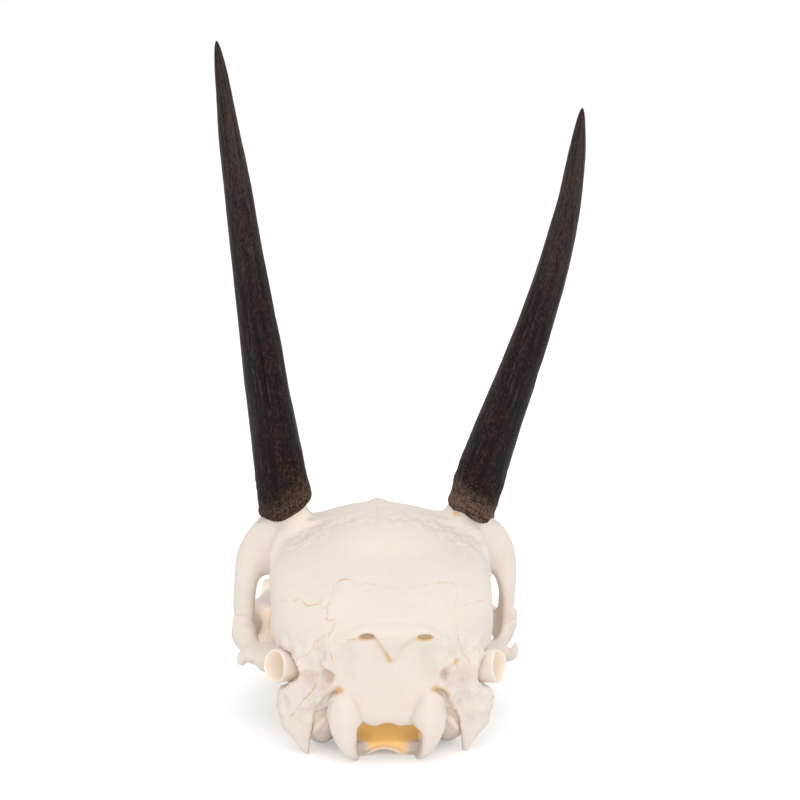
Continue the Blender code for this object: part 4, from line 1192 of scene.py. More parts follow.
CRACKS_AND_LIP_SHADOWS = tuple(Crack(tuple(path), gap) for gap, *path in (
    # The first two lines trace the crest's lip over the notches: a painted shadow line under the lip.
    (1.0, (-9.8, 5.6, 31.2), (-7.6, 5.4, 31.3), (-6.6, 5.2, 32.1), (-5.1, 5.0, 32.6),
     (-3.8, 5.0, 32.3), (-2.8, 5.2, 31.2)),
    (1.0, (7.0, 5.4, 30.8), (7.9, 5.2, 31.8), (9.2, 5.0, 32.2), (10.5, 5.0, 31.9), (11.8, 5.6, 31.2),
     (13.0, 6.0, 30.6)),
    (0.4, (-26.7, 22.8, 35.7), (-25.4, 21.7, 36.7), (-24.2, 20.6, 37.0), (-23.7, 19.2, 36.5)),
    (0.75, (-22.4, 19.2, 37.3), (-20.9, 18.9, 38.0), (-20.2, 17.4, 37.4), (-19.3, 16.0, 36.8),
     (-18.2, 15.7, 37.1), (-16.4, 15.3, 37.6)),
    (0.4, (-16.4, 15.3, 37.6), (-15.5, 16.1, 38.3), (-16.0, 14.9, 37.4), (-15.4, 13.7, 36.8),
     (-14.4, 13.6, 37.1)),
    (0.75, (-7.0, 19.6, 41.3), (-8.5, 21.1, 42.0), (-10.2, 21.5, 42.0), (-11.4, 20.6, 41.5),
     (-12.3, 20.1, 41.2), (-12.7, 18.9, 40.4), (-12.3, 17.7, 39.9), (-13.0, 16.6, 39.2)),
    (0.6, (-13.0, 16.6, 39.2), (-13.5, 15.0, 38.1), (-14.2, 13.8, 37.2), (-14.3, 12.0, 36.0),
     (-14.7, 11.0, 35.3), (-14.1, 9.8, 34.5), (-12.9, 10.2, 35.2)),
    (0.9, (-12.9, 10.2, 35.2), (-12.7, 8.4, 34.1), (-13.4, 7.3, 32.5), (-14.2, 7.3, 31.7),
     (-14.0, 6.7, 30.6)),
    (1.0, (-14.0, 6.7, 30.6), (-14.3, 6.3, 28.8), (-13.7, 6.1, 27.4), (-13.3, 6.9, 25.0),
     (-13.0, 7.1, 23.7)),
    (0.6, (-15.4, 7.8, 31.3), (-17.5, 8.7, 29.4), (-18.5, 9.3, 27.3), (-18.9, 9.6, 26.6),
     (-20.5, 10.2, 25.6), (-21.5, 10.2, 24.8)),
    (1.0, (-15.9, 7.8, 24.1), (-16.5, 8.6, 22.0), (-16.9, 8.9, 20.0), (-18.1, 9.2, 17.0),
     (-21.0, 10.7, 13.7), (-22.4, 11.0, 11.6), (-23.2, 11.3, 10.3)),
    (0.32, (-6.3, 19.1, 41.2), (-4.1, 19.5, 41.5), (0.0, 17.9, 40.8), (3.7, 17.3, 40.4),
     (7.4, 17.8, 40.5), (11.5, 19.5, 40.9), (15.0, 20.8, 41.0)),
    (0.45, (15.0, 20.8, 41.0), (18.0, 21.4, 40.6), (18.3, 18.8, 39.0), (17.3, 14.7, 36.8)),
    (0.35, (17.3, 14.7, 36.8), (17.3, 11.7, 34.6), (17.6, 9.5, 32.2), (17.8, 9.0, 29.8)),
    (0.65, (17.8, 9.0, 29.8), (18.4, 9.2, 26.7), (19.9, 9.5, 24.6), (20.8, 9.8, 23.4)),
    (0.4, (19.0, 14.8, 36.5), (20.1, 16.0, 36.4), (22.2, 18.0, 36.6), (24.9, 20.3, 36.2)),
    (0.5, (17.4, 8.6, 23.6), (18.2, 9.2, 20.8), (19.2, 9.7, 18.6), (20.0, 10.0, 16.4)),
    (0.7, (-23.9, 10.8, 19.4), (-24.6, 11.5, 15.1), (-24.9, 11.8, 12.5)),
    (1.0, (-23.8, 13.0, 26.7), (-22.6, 12.6, 26.4), (-21.7, 12.4, 25.7), (-22.1, 12.6, 24.3)),
    (0.6, (-25.9, 15.0, 26.5), (-24.6, 14.6, 27.0), (-23.9, 14.2, 25.3)),
    (1.0, (-22.2, 13.6, 22.8), (-21.9, 13.4, 20.5), (-21.8, 13.4, 18.2)),
    (0.6, (-36.8, 42.4, 27.0), (-34.8, 42.4, 27.5), (-33.8, 42.2, 26.9), (-32.3, 42.8, 25.2)),
    (0.6, (30.2, 42.8, 25.2), (31.4, 42.4, 24.2), (33.2, 42.4, 24.4), (34.8, 42.4, 25.6)),
    (1.0, (-27.0, 60.0, 23.8), (-28.0, 60.0, 19.2), (-27.7, 60.0, 17.9), (-29.0, 60.4, 14.8)),
    (1.0, (-26.4, 60.0, 16.4), (-27.4, 60.0, 14.4), (-30.2, 60.0, 12.8)),
))


@dataclass
class Cranium:
    """All the bones of the cranium, on a fine grid behind and a coarser one in front."""

    place: SkullPlace
    vault: Vault = Vault()
    occiput: Occiput = Occiput()
    muzzle: Muzzle = Muzzle()
    sutures: Sutures = Sutures()
    mastoids: tuple[Mastoid, ...] = tuple(Mastoid(side) for side in Side)
    ears: tuple[EarBone, ...] = (
        EarBone(Side.LEFT, (27.2, 15.5, 21.6), (0.80, -0.60, 0.10)),
        EarBone(Side.RIGHT, (28.3, 15.5, 20.6), (0.87, -0.48, 0.10)),
    )
    cheeks: tuple[Cheek, ...] = (
        Cheek(-1.0, 0.0,
              (((-31.2, 33.5, 18.8, 1.5), (-30.7, 31.2, 17.9, 1.1), (-30.3, 30.2, 16.4, 0.5)),
               ((-35.4, 36.6, 18.0, 1.2), (-35.2, 35.4, 17.2, 1.4), (-33.6, 34.6, 17.6, 0.8)),
               ((-36.2, 43.4, 25.4, 1.4), (-35.8, 42.6, 22.4, 1.8))),
              (((-38.4, 44.6, 27.0), (1.0, 2.4, 0.8)), ((-33.2, 34.0, 16.2), (1.4, 2.6, 1.8)))),
        Cheek(0.97, -2.2,
              (((31.2, 36.5, 17.8, 1.8), (33.0, 34.8, 17.6, 1.7), (34.1, 34.0, 19.2, 1.1),
                (34.4, 33.6, 21.3, 0.4)),
               ((26.2, 36.2, 22.6, 2.0), (29.6, 39.6, 20.8, 2.2)),
               ((34.6, 43.4, 26.4, 1.2), (34.2, 42.6, 23.6, 1.4)),
               ((31.2, 45.4, 28.4, 1.2), (29.8, 44.4, 24.6, 2.6), (30.0, 42.4, 20.6, 2.8))),
              (((33.6, 37.6, 22.8), (1.2, 3.2, 1.3)), ((35.0, 39.0, 20.0), (1.6, 4.0, 2.0)))),
    )
    rear_box: tuple[Point, Point] = ((-41.0, -2.5, -1.5), (41.0, 83.0, 69.0))
    front_box: tuple[Point, Point] = ((-38.0, 40.0, -1.5), (38.0, SKULL_LENGTH + 2.5, 52.0))
    fine: float = 0.45
    coarse: float = 0.55
    rest: float = 0.03

    def model(self, low: Point, high: Point, step: float) -> Clay:
        """The cranium before it is parted, on a grid between two corners."""
        clay = Clay(np.array(low), np.array(high), step * (1))
        self.vault.model(clay)
        for mastoid in self.mastoids:
            mastoid.model(clay)
        self.occiput.model(clay)
        for mastoid in self.mastoids:
            mastoid.add_blade(clay)
        self.muzzle.model(clay)
        for cheek in self.cheeks:
            cheek.model(clay)
        self.muzzle.hollow(clay)
        self.occiput.open_foramen(clay)
        self.vault.open_cores(clay)
        for ear in self.ears:
            ear.cut_socket(clay)
        return clay

    def build(self, finish: bpy.types.Material) -> None:
        """Every bone as a piece of its own."""
        rear = self.model(*self.rear_box, self.fine)
        front = self.model(*self.front_box, self.coarse)
        skins = {True: self.whole_skin(front), False: self.whole_skin(rear)}
        for bone in BoneName:
            clay = front if bone.at_front else rear
            part = self.share(skins[bone.at_front], self.sutures.region(bone.value), clay.step)
            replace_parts(self.piece(part, bone.value, finish), bone.node)
        for ear in self.ears:
            name = f"ear_bone_{ear.side.word}"
            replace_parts(self.piece(self.whole_skin(ear.clay()), name, finish), name)
            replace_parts(self.piece(ear.tube(), f"ear_tube_{ear.side.word}", finish), name)

    def whole_skin(self, clay: Clay) -> Surface:
        """The skin of everything on a grid, smoothed, with its relief and its hollows for painted
        shade.
        """
        depth = clay.depth.copy()
        for axis in range(3):
            ends = np.moveaxis(depth, axis, 0)
            ends[0] = ends[-1] = np.maximum(ends[0], FAR)
        points, quads = largest_shell(*skin(depth, clay.low, clay.step))
        shape = Surface(points, quads)
        shape.relax(2)
        band = self.rough_band(shape.points)
        swell = Relief(3).rough(shape.points, 7.0) * 0.09 + Relief(5).rough(shape.points, 2.2) * 0.035
        swell = swell + band * (Relief(8).rough(shape.points, 1.8) * 0.42 - 0.12)
        swell = swell + self.rugged(shape.points) * Relief(9).rough(shape.points, 2.7, 4) * 0.8
        shape.push(swell)
        shape.points[:, 2] = np.maximum(shape.points[:, 2], self.rest)
        shape.shading = shape.normals()
        # Painted shade: the share of bone round each point, high in hollows, darkens them in the
        # finish.
        shape.masks["hollow"] = clay.read(clay.blurred(1.6), points) - 0.5
        return shape

    def share(self, skin_shape: Surface, region: Callable, step: float) -> Surface:
        """One bone's part of a skin, which runs on a little under the bones beside it."""
        seam = region(*skin_shape.points.T)
        part = skin_shape.taken((seam[skin_shape.quads] > -self.sutures.lap * step).all(axis=1))
        seam = region(*part.points.T)
        part.points = part.points - part.shading * (0.1 * eased(0.0, step, -seam))[:, None]
        part.masks["seam"] = np.clip(seam, -LINE_REACH, LINE_REACH)
        return part

    def piece(self, shape: Surface, name: str, finish: bpy.types.Material) -> bpy.types.Object:
        """The mesh of one bone with the masks that its finish reads."""
        points = shape.points
        amber, painted_shade_share, thin = (np.max([mark.share(points) for mark in marks], axis=0)
                             for marks in (AMBER_STAINS_AND_SHADE, PAINTED_SHADE, PAINTED_SHINE))
        # The painted shine falls only on faces that turn backward, toward the camera.
        masks = {"seam": np.full(len(points), LINE_REACH), "amber": amber, "painted_shade_share": painted_shade_share,
                 "thin": thin * eased(0.0, 0.5, -shape.normals()[:, 1]),
                 "band": self.rough_band(points), "cave": self.cave(points)}
        masks |= self.drawn_cracks(points) | shape.masks
        return shape.piece(name, self.place, finish, masks)

    @staticmethod
    def rugged(points: Array) -> Array:
        """How lumpy the bone is: most beside the occiput, between the crest and the ear tube."""
        x, y, z = points.T
        aside = eased(12.5, 15.5, np.abs(x)) * (1 - eased(15.0, 21.0, y))
        return aside * eased(5.0, 12.0, z) * (1 - eased(26.0, 31.0, z))

    @staticmethod
    def cave(points: Array) -> Array:
        """How far a point is into the hollow behind the foramen, where the finish paints light that
        shines amber.
        """
        x, y, z = points.T
        low = 1 - eased(2.6, 5.5, z)
        corner = eased(3.4, 8.0, np.abs(x - 0.4)) * (1 - eased(1.6, 6.0, z))
        inside = eased(0.0, 1.0 + 1.8 * low, y - 5.4 - 2.4 * low - 4.6 * corner)
        within = 1 - eased(10.6, 11.4, np.linalg.norm(points - Occiput.brain[0], axis=1))
        channel = (1 - eased(8.7, 9.4, np.abs(x - 0.4))) * (1 - eased(11.0, 13.0, z)) * (y < 19)
        return inside * np.maximum(within, channel)

    @staticmethod
    def drawn_cracks(points: Array) -> dict[str, Array]:
        """Signed distance to the nearest crack, painted shadow line or mid seam, and how open it is
        there.
        """
        nearest, opened = np.full(len(points), LINE_REACH), np.zeros(len(points))
        back = np.flatnonzero(points[:, 1] < CRACKS_END)
        for crack in CRACKS_AND_LIP_SHADOWS:
            away, gap = crack.measure(points[back])
            closer = np.abs(away) < np.abs(nearest[back])
            nearest[back] = np.where(closer, away, nearest[back])
            opened[back] = np.where(closer, gap, opened[back])
        x, y, _ = points.T
        middle = np.where(y > MID_SEAM_START, x + wiggle(y, 0.12), LINE_REACH)
        nearest = np.where(np.abs(middle) < np.abs(nearest), middle, nearest)
        opened = np.where(np.abs(middle) < 0.7, 0.45, opened)
        return {"crack": np.clip(nearest, -LINE_REACH, LINE_REACH), "open": opened}

    @staticmethod
    def rough_band(points: Array) -> Array:
        """How rough the bone is: a band across the forehead behind the brow ridge."""
        x, y, z = points.T
        crown = 45.4 - 5.0 * (x / 27.0) ** 2
        return (1 - eased(2.0, 5.5, np.abs(y - crown + 3.0))) * eased(44.0, 46.0, z)


@dataclass
class Surface:
    """A mesh in the making: points in millimetres, quads and triangles."""

    points: Array
    quads: Array
    triangles: Array = field(default_factory=lambda: np.zeros((0, 3), int))
    shading: Array | None = None
    masks: dict[str, Array] = field(default_factory=dict)

    @classmethod
    def wrapped(cls, rows: Array, start: Array, end: Array) -> Surface:
        """A closed surface from rings of points, with a pole at each end.

        Args:
            rows: Rings of points, shaped rings by points by 3, with the first ring at the start
                and each ring turning left about the way to the end.
            start: The pole before the first ring.
            end: The pole after the last ring.

        Returns:
            The surface, facing outward.
        """
        rings, around = rows.shape[:2]
        number = np.arange(rings * around).reshape(rings, around)
        after = np.roll(number, -1, axis=1)
        quads = np.stack([number[:-1], after[:-1], after[1:], number[1:]], axis=2).reshape(-1, 4)
        first, last = rings * around, rings * around + 1
        fans = np.vstack([
            np.stack([np.full(around, first), after[0], number[0]], axis=1),
            np.stack([np.full(around, last), number[-1], after[-1]], axis=1)])
        return cls(np.vstack([rows.reshape(-1, 3), start, end]), quads, fans)

    def relax(self, rounds: int) -> None:
        """Moves each point half of the way to the mean of its neighbours, again and again."""
        start, end = self.quads.ravel(), np.roll(self.quads, -1, axis=1).ravel()
        size = len(self.points)
        count = np.bincount(start, minlength=size) + np.bincount(end, minlength=size)
        for _ in range(rounds):
            total = np.stack([np.bincount(start, self.points[end, i], size)
                              + np.bincount(end, self.points[start, i], size)
                              for i in range(3)], axis=1)
            self.points = (self.points + total / count[:, None]) / 2

    def normals(self) -> Array:
        """Outward unit normals of the points, from the quads' diagonals."""
        a, b, c, d = (self.points[self.quads[:, i]] for i in range(4))
        face = np.cross(c - a, d - b)
        total = np.stack([np.bincount(self.quads.ravel(), np.repeat(face[:, i], 4),
                                      len(self.points)) for i in range(3)], axis=1)
        return total / np.maximum(np.linalg.norm(total, axis=1), 1e-9)[:, None]

    def taken(self, kept: Array) -> Surface:
        """The part made of some of the quads, with its own points, shading and masks."""
        used, quads = np.unique(self.quads[kept], return_inverse=True)
        masks = {name: values[used] for name, values in self.masks.items()}
        return Surface(self.points[used], quads.reshape(-1, 4), shading=self.shading[used],
                       masks=masks)

    def push(self, heights: Array) -> None:
        """Moves the points outward by their heights."""
        self.points = self.points + self.normals() * heights[:, None]

    def piece(self, name: str, place: SkullPlace, finish: bpy.types.Material,
              masks: dict[str, Array], slot: str = "bone") -> bpy.types.Object:
        """Makes the mesh and its object, riding on the skull.

        Args:
            name: The object's name.
            place: Turns millimetres into the model's metres.
            finish: The material.
            masks: Values or vectors at the points that the material reads, by name.
            slot: Not used.

        Returns:
            The new object.
        """
        mesh = bpy.data.meshes.new(name)
        mesh.vertices.add(len(self.points))
        mesh.vertices.foreach_set("co", place.metres(self.points).astype(np.float32).ravel())
        corners = np.concatenate([self.quads.ravel(), self.triangles.ravel()])
        starts = np.concatenate([np.arange(0, self.quads.size, 4),
                                 self.quads.size + np.arange(0, self.triangles.size, 3)])
        mesh.loops.add(len(corners))
        mesh.loops.foreach_set("vertex_index", corners.astype(np.int32))
        mesh.polygons.add(len(starts))
        mesh.polygons.foreach_set("loop_start", starts.astype(np.int32))
        mesh.update(calc_edges=True)
        mesh.shade_smooth()
        if self.shading is not None:
            mesh.normals_split_custom_set_from_vertices(self.shading)
        for mask, values in masks.items():
            kind, key = ("FLOAT_VECTOR", "vector") if values.ndim == 2 else ("FLOAT", "value")
            layer = mesh.attributes.new(mask, kind, "POINT")
            layer.data.foreach_set(key, values.astype(np.float32).ravel())
        mesh.materials.append(finish)
        thing = bpy.data.objects.new(name, mesh)
        bpy.context.scene.collection.objects.link(thing)
        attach(thing, "root")
        LOG.info("%s: %d quads", name, len(self.quads))
        return thing


# Horns and teeth


@dataclass(frozen=True)
class Sheath:
    """The dark sheath of one horn, over the bony core."""

    horn: Horn
    seed: int
    split: tuple[float, float] = (0.0, 0.0)
    dents: tuple = ()
    radius: float = 6.1
    swell: float = 0.85
    wall: float = 0.8
    wear: float = 0.35
    depth: float = 2.8
    edge_radius: float = 6.9
    grain_radius: float = 6.0
    rings: int = 520
    around: int = 128

    @property
    def length(self) -> float:
        """The straight way from the middle of the foot to the tip."""
        return float(np.linalg.norm(np.array(self.horn.tip) - self.horn.foot))

    def axis(self, t: Array) -> Array:
        """Points of the horn's middle line: straight, plus a sine bow and a double sine sway."""
        foot, tip = np.array(self.horn.foot), np.array(self.horn.tip)
        turn = math.pi * np.clip(t, 0, 1)[..., None]
        bent = np.sin(turn) * (*self.horn.bow, 0.0) - np.sin(2 * turn) * (self.horn.sway, 0.0, 0.0)
        return foot + t[..., None] * (tip - foot) + bent

    def thickness(self, t: Array) -> Array:
        """Radius: the square root of what is left of the length, with a swelling at the foot."""
        return (self.radius * np.sqrt(np.clip(1 - t, 0, 1.2))
                + self.swell * np.exp(-(t / 0.25) ** 2))

    def place(self, t: Array, angle: Array, radius: Array) -> Array:
        """Points at an angle and a radius round the middle line."""
        step = 1e-3
        ahead = self.axis(t + step) - self.axis(t - step)
        ahead /= np.linalg.norm(ahead, axis=-1, keepdims=True)
        aside = np.array([1.0, 0.0, 0.0]) - ahead[..., :1] * ahead
        aside /= np.linalg.norm(aside, axis=-1, keepdims=True)
        third = np.cross(ahead, aside)
        turned = np.cos(angle)[..., None] * aside + np.sin(angle)[..., None] * third
        return self.axis(t) + radius[..., None] * turned

    def foot_line(self, angle: Array, less: float, rise: float) -> Array:
        """Where along the horn each line of its skin meets the slanting plane of its foot.

        Args:
            angle: Angles round the horn.
            less: How much the radius is less than the horn's.
            rise: How far the plane is moved up into the horn.

        Returns:
            The place along the middle line, found by steps along it.
        """
        normal = np.array([-self.horn.slant[0], -self.horn.slant[1], 1.0])
        normal /= np.linalg.norm(normal)
        t = np.zeros_like(angle)
        for _ in range(12):
            places = self.place(t, angle, self.thickness(t) - less)
            t = t - ((places - self.horn.foot) @ normal - rise) / self.length
        return t

    def build(self, place: SkullPlace, finish: bpy.types.Material) -> bpy.types.Object:
        """The sheath: its hollow foot, its lip and its outer skin, with grooves and rings."""
        angle = np.linspace(0, 2 * math.pi, self.around, endpoint=False)
        ring = np.stack([np.cos(angle), np.sin(angle), 0 * angle], axis=1) * self.edge_radius
        left, right = (lift * np.exp(-((np.cos(angle) - way) / 0.42) ** 2)
                       for lift, way in zip(self.horn.lifts, (-1, 1)))
        edge = Relief(self.seed).heights(ring, 3.6) * 0.22 + left + right
        hollow = ((self.depth, self.wall + 3.0), (self.depth, self.wall), (1.2, self.wall),
                  (0.12, self.wall - 0.06), (-0.04, self.wall / 2))
        rows, lengths = [], []
        for rise, less in hollow:
            t = self.foot_line(angle, less, rise)
            rows.append(self.place(t, angle, self.thickness(t) - less))
            lengths.append(0 * t)
        start = self.foot_line(angle, 0.1, 0.05)
        share = 1 - (1 - np.linspace(0, 1, self.rings, endpoint=False)) ** 1.5
        for part in share:
            t = start + (1 - start) * part
            rows.append(self.place(t, angle, self.thickness(t) - 0.1 * math.exp(-part * 900)))
            rows[-1][:, 2] += edge * (1 - eased(0.0, 0.06, np.array(part)))
            lengths.append(np.full_like(t, part))
        rows = np.array(rows)
        length = np.array(lengths) * self.length
        rows[:len(hollow), :, 2] += edge
        top = self.place(self.foot_line(angle[:1], self.wall + 6.0, self.depth), angle[:1],
                         np.zeros(1))[0]
        shape = Surface.wrapped(rows, top, np.array(self.horn.tip))
        around = (np.broadcast_to(self.grain_radius * wave(angle), length.shape)
                  for wave in (np.cos, np.sin))
        grain = np.stack([*around, length], axis=2)
        grain = np.vstack([grain.reshape(-1, 3), (0, 0, 0), (0, 0, self.length)])
        skin_share = np.repeat([0.0, 1.0, 0.0], [len(hollow) * self.around,
                                                 self.rings * self.around, 2])
        shape.push(self.grooves(grain) * skin_share)
        inner = -self.horn.side.value * grain[:, 0] / self.grain_radius
        split = eased(self.split[0], self.split[0] + 2.0, grain[:, 2])
        split = split * (1 - eased(self.split[1] - 3.0, self.split[1] + 0.1, grain[:, 2]))
        masks = {"grain": grain, "rise": np.clip(grain[:, 2] / self.length, 0, 1),
                 "split": split * (grain[:, 1] < 0), "worn": np.full(len(grain), self.wear),
                 "inner": inner}
        return shape.piece(f"horn_{self.horn.side.word}", place, finish, masks, "horn")

    def grooves(self, grain: Array) -> Array:
        """Heights of the skin: fine grooves along it, slow swellings, rings at its foot, dents."""
        level = grain[:, 2]
        near_foot = 1 - eased(3.0, 24.0, level)
        fine = Relief(self.seed + 1).rough(grain * (1, 1, 0.07), 1.3) * 0.06
        slow = Relief(self.seed + 2).rough(grain * (1, 1, 0.55), 8.0, 2) * 0.22
        rings = Relief(self.seed + 3).rough(grain * (0.2, 0.2, 1.0), 2.6)
        rings = rings * (0.03 + 0.15 * near_foot)
        pits = Relief(self.seed + 4).rough(grain, 1.1) * 0.06 * (0.3 + near_foot)
        lip = 0.25 * np.exp(-((level - 1.0 + slow) / 1.2) ** 2)
        taper = eased(0.0, 0.12, 1 - level / self.length)
        height = (fine + slow + rings + pits) * (0.15 + 0.85 * taper) + lip
        for angle, at, reach, deep in self.dents:
            turn = grain[:, 0] * math.cos(angle) + grain[:, 1] * math.sin(angle)
            beside = np.sqrt(np.maximum(self.grain_radius**2 - turn * np.abs(turn), 0)) / (0.6 * reach)
            height = height - deep * np.exp(-((level - at) / reach) ** 2 - beside**2)
        return height


@dataclass(frozen=True)
class ToothShape:
    """One cheek tooth as a surface, from its root in the jaw down to the worn crown."""

    tooth: Tooth
    side: Side
    root: float = 12.0
    pit_depth: float = 2.4
    around: int = 72
    wall_rings: int = 26
    face_rings: int = 30

    def outline(self, angle: Array) -> Array:
        """The crown's outline round its middle: a rounded box with ribs on the cheek side."""
        half = np.array([self.tooth.width, self.tooth.length]) / 2 * 1.02
        c, s = np.cos(angle), np.sin(angle)
        reach = (np.abs(c / half[0]) ** 2.8 + np.abs(s / half[1]) ** 2.8) ** (-1 / 2.8)
        waist = 0.24 * np.exp(-((s * reach) / 0.9) ** 2) * (self.tooth.lobes - 1)
        ribs = 0.035 * np.cos(6 * s * math.pi) * eased(0.0, 0.5, c)
        return reach[:, None] * (1 - waist * np.abs(c) + ribs)[:, None] * np.stack([c, s], 1)

    def worn(self, plan: Array) -> Array:
        """Heights of the worn face: cheek and tongue cusps with a crescent pit between them."""
        across = plan[:, 0] / (self.tooth.width / 2)
        beside = plan[:, 1] / (self.tooth.length / 2)
        lobe = np.cos(math.pi * self.tooth.lobes * beside)
        if self.tooth.lobes == 2:
            lobe = -lobe
        cheek = 1.5 * np.exp(-((across - 0.66) / 0.26) ** 2) * (0.65 + 0.35 * lobe)
        tongue = 1.0 * np.exp(-((across + 0.62) / 0.3) ** 2) * (0.5 + 0.5 * lobe)
        pit = 1.3 * np.exp(-((across + 0.12 * lobe) / 0.16) ** 2) * eased(-0.8, 0.4, lobe)
        return 1.5 - cheek - tongue + pit

    def build(self, place: SkullPlace, finish: bpy.types.Material, name: str) -> bpy.types.Object:
        """The tooth: rings up its wall from the root, then over the worn face to its middle."""
        angle = np.linspace(0, 2 * math.pi, self.around, endpoint=False)
        plan = self.outline(angle)
        tooth, rim = self.tooth, self.worn(plan * 0.97)
        rows = []
        for part in np.linspace(0, 1, self.wall_rings):
            wide = 1.06 - 0.1 * part + 0.04 * math.sin(math.pi * part)
            height = self.root * (1 - part) + rim * eased(0.8, 1.0, np.array(part))
            rows.append(np.column_stack([plan * wide, height]))
        for part in np.linspace(0.97, 0.04, self.face_rings):
            spots = plan * 0.96 * part
            rows.append(np.column_stack([spots, np.maximum(self.worn(spots), 0.0)]))
        rows = np.array(rows)
        rows[:, :, 2] = np.maximum(rows[:, :, 2], 0.0)
        turn = math.radians(-tooth.turn)
        c, s = math.cos(turn), math.sin(turn)
        x = rows[:, :, 0] * c - rows[:, :, 1] * s + tooth.x
        y = rows[:, :, 0] * s + rows[:, :, 1] * c + tooth.y
        rows = np.stack([x * self.side.value, y, rows[:, :, 2]], axis=2)
        if self.side is Side.RIGHT:
            rows = rows[:, ::-1]
        low = rows[-1].mean(axis=0)
        shape = Surface.wrapped(rows, rows[0].mean(axis=0), low)
        pits = np.where(np.arange(len(rows))[:, None] < self.wall_rings, 0.0, rows[:, :, 2])
        pits = np.append(pits, (0.0, low[2]))
        return shape.piece(name, place, finish, {"pit": np.clip(pits / self.pit_depth, 0, 1)},
                           "tooth")


# Finishes


class Wiring:
    """Adds nodes to one tree and joins them."""

    def __init__(self, tree: bpy.types.NodeTree) -> None:
        """Keeps the tree."""
        self.tree = tree

    def feed(self, node: bpy.types.Node, inputs: dict) -> None:
        """Sets a node's inputs, each to a value or to the socket that feeds it."""
        for key, value in inputs.items():
            if isinstance(value, bpy.types.NodeSocket):
                self.tree.links.new(value, node.inputs[key])
            else:
                node.inputs[key].default_value = value

    def node(self, kind: str, inputs: dict | None = None, **settings: object) -> bpy.types.Node:
        """Adds a node with its settings and its inputs."""
        made = self.tree.nodes.new(kind)
        for key, value in settings.items():
            setattr(made, key, value)
        self.feed(made, inputs or {})
        return made

    def math(self, operation: str, *values: object) -> bpy.types.NodeSocket:
        """One arithmetic step on up to three values."""
        return self.node("ShaderNodeMath", dict(enumerate(values)), operation=operation).outputs[0]

    def times(self, first: object, second: object) -> bpy.types.NodeSocket:
        """The product of two values."""
        return self.math("MULTIPLY", first, second)

    def scaled(self, value: object, factor: float, more: object) -> bpy.types.NodeSocket:
        """A value times a factor, and more added to it."""
        return self.math("MULTIPLY_ADD", value, factor, more)

    def rest(self, value: object) -> bpy.types.NodeSocket:
        """What a value lacks to 1."""
        return self.math("SUBTRACT", 1.0, value)

    def step(self, value: object, low: float, high: float) -> bpy.types.NodeSocket:
        """Goes smoothly from 0 at low to 1 at high."""
        return self.node("ShaderNodeMapRange", {"Value": value, "From Min": low, "From Max": high},
                         interpolation_type="SMOOTHSTEP").outputs[0]

    def mix(self, share: object, first: object, second: object) -> bpy.types.NodeSocket:
        """Mixes two colours."""
        return self.node("ShaderNodeMix", {0: share, 6: first, 7: second},
                         data_type="RGBA").outputs[2]

    def bump(self, strength: float, distance: float, height: object) -> bpy.types.NodeSocket:
        """The surface's direction, roughened by a height."""
        return self.node("ShaderNodeBump", {"Strength": strength, "Distance": distance,
                                            "Height": height}).outputs[0]

    def seen(self) -> bpy.types.NodeSocket:
        """1 for the camera's own look at a surface, 0 for light that comes from it."""
        return self.node("ShaderNodeLightPath").outputs["Is Camera Ray"]

    def stretched(self, place: object, scale: Point) -> bpy.types.NodeSocket:
        """A place multiplied along each axis."""
        return self.node("ShaderNodeVectorMath", {0: place, 1: scale},
                         operation="MULTIPLY").outputs[0]

    def noise(self, place: object, scale: object, detail: float = 4.0,
              rough: float = 0.5) -> bpy.types.NodeSocket:
        """Noise from 0 to 1 at a place."""
        return self.node("ShaderNodeTexNoise", {"Vector": place, "Scale": scale, "Detail": detail,
                                                "Roughness": rough}).outputs[0]

    def mask(self, name: str) -> bpy.types.NodeSocket:
        """A value that the mesh holds at its points."""
        return self.node("ShaderNodeAttribute", attribute_name=name).outputs["Fac"]

    def vector(self, name: str) -> bpy.types.NodeSocket:
        """A vector that the mesh holds at its points."""
        return self.node("ShaderNodeAttribute", attribute_name=name).outputs["Vector"]


def group(name: str, inputs: dict[str, tuple[str, float]], outputs: Sequence[str],
          fill: Callable[[Wiring, bpy.types.Node], dict[str, object]]) -> bpy.types.NodeTree:
    """Makes a node group with named inputs and outputs.

    Args:
        name: The group's name.
        inputs: For each input its socket kind, Float or Vector, and its value.
        outputs: The outputs' names, each a value.
        fill: Wires the inside and gives the socket for each output.

    Returns:
        The group's tree.
    """
    tree = bpy.data.node_groups.new(name, "ShaderNodeTree")
    for key, (kind, value) in inputs.items():
        socket = tree.interface.new_socket(key, in_out="INPUT", socket_type=f"NodeSocket{kind}")
        if kind == "Float":
            socket.default_value = value
    for key in outputs:
        tree.interface.new_socket(key, in_out="OUTPUT", socket_type="NodeSocketFloat")
    wiring = Wiring(tree)
    given = wiring.node("NodeGroupInput")
    wiring.node("NodeGroupOutput", fill(wiring, given))
    return tree


def mottle_group() -> bpy.types.NodeTree:
    """Slow uneven colour: two noises, a wide one and a close one, made contrasty."""
    def fill(w: Wiring, given: bpy.types.Node) -> dict[str, object]:
        """Wires the two noises."""
        place, scale = given.outputs["Place"], given.outputs["Scale"]
        wide = w.noise(place, scale, 3.0)
        close = w.noise(place, w.times(scale, 4.3), 5.0, 0.65)
        both = w.scaled(close, 0.4, w.times(wide, 0.6))
        return {"Mask": w.step(both, 0.38, 0.62)}

    return group("Mottle", {"Place": ("Vector", 0.0), "Scale": ("Float", 100.0)}, ["Mask"], fill)


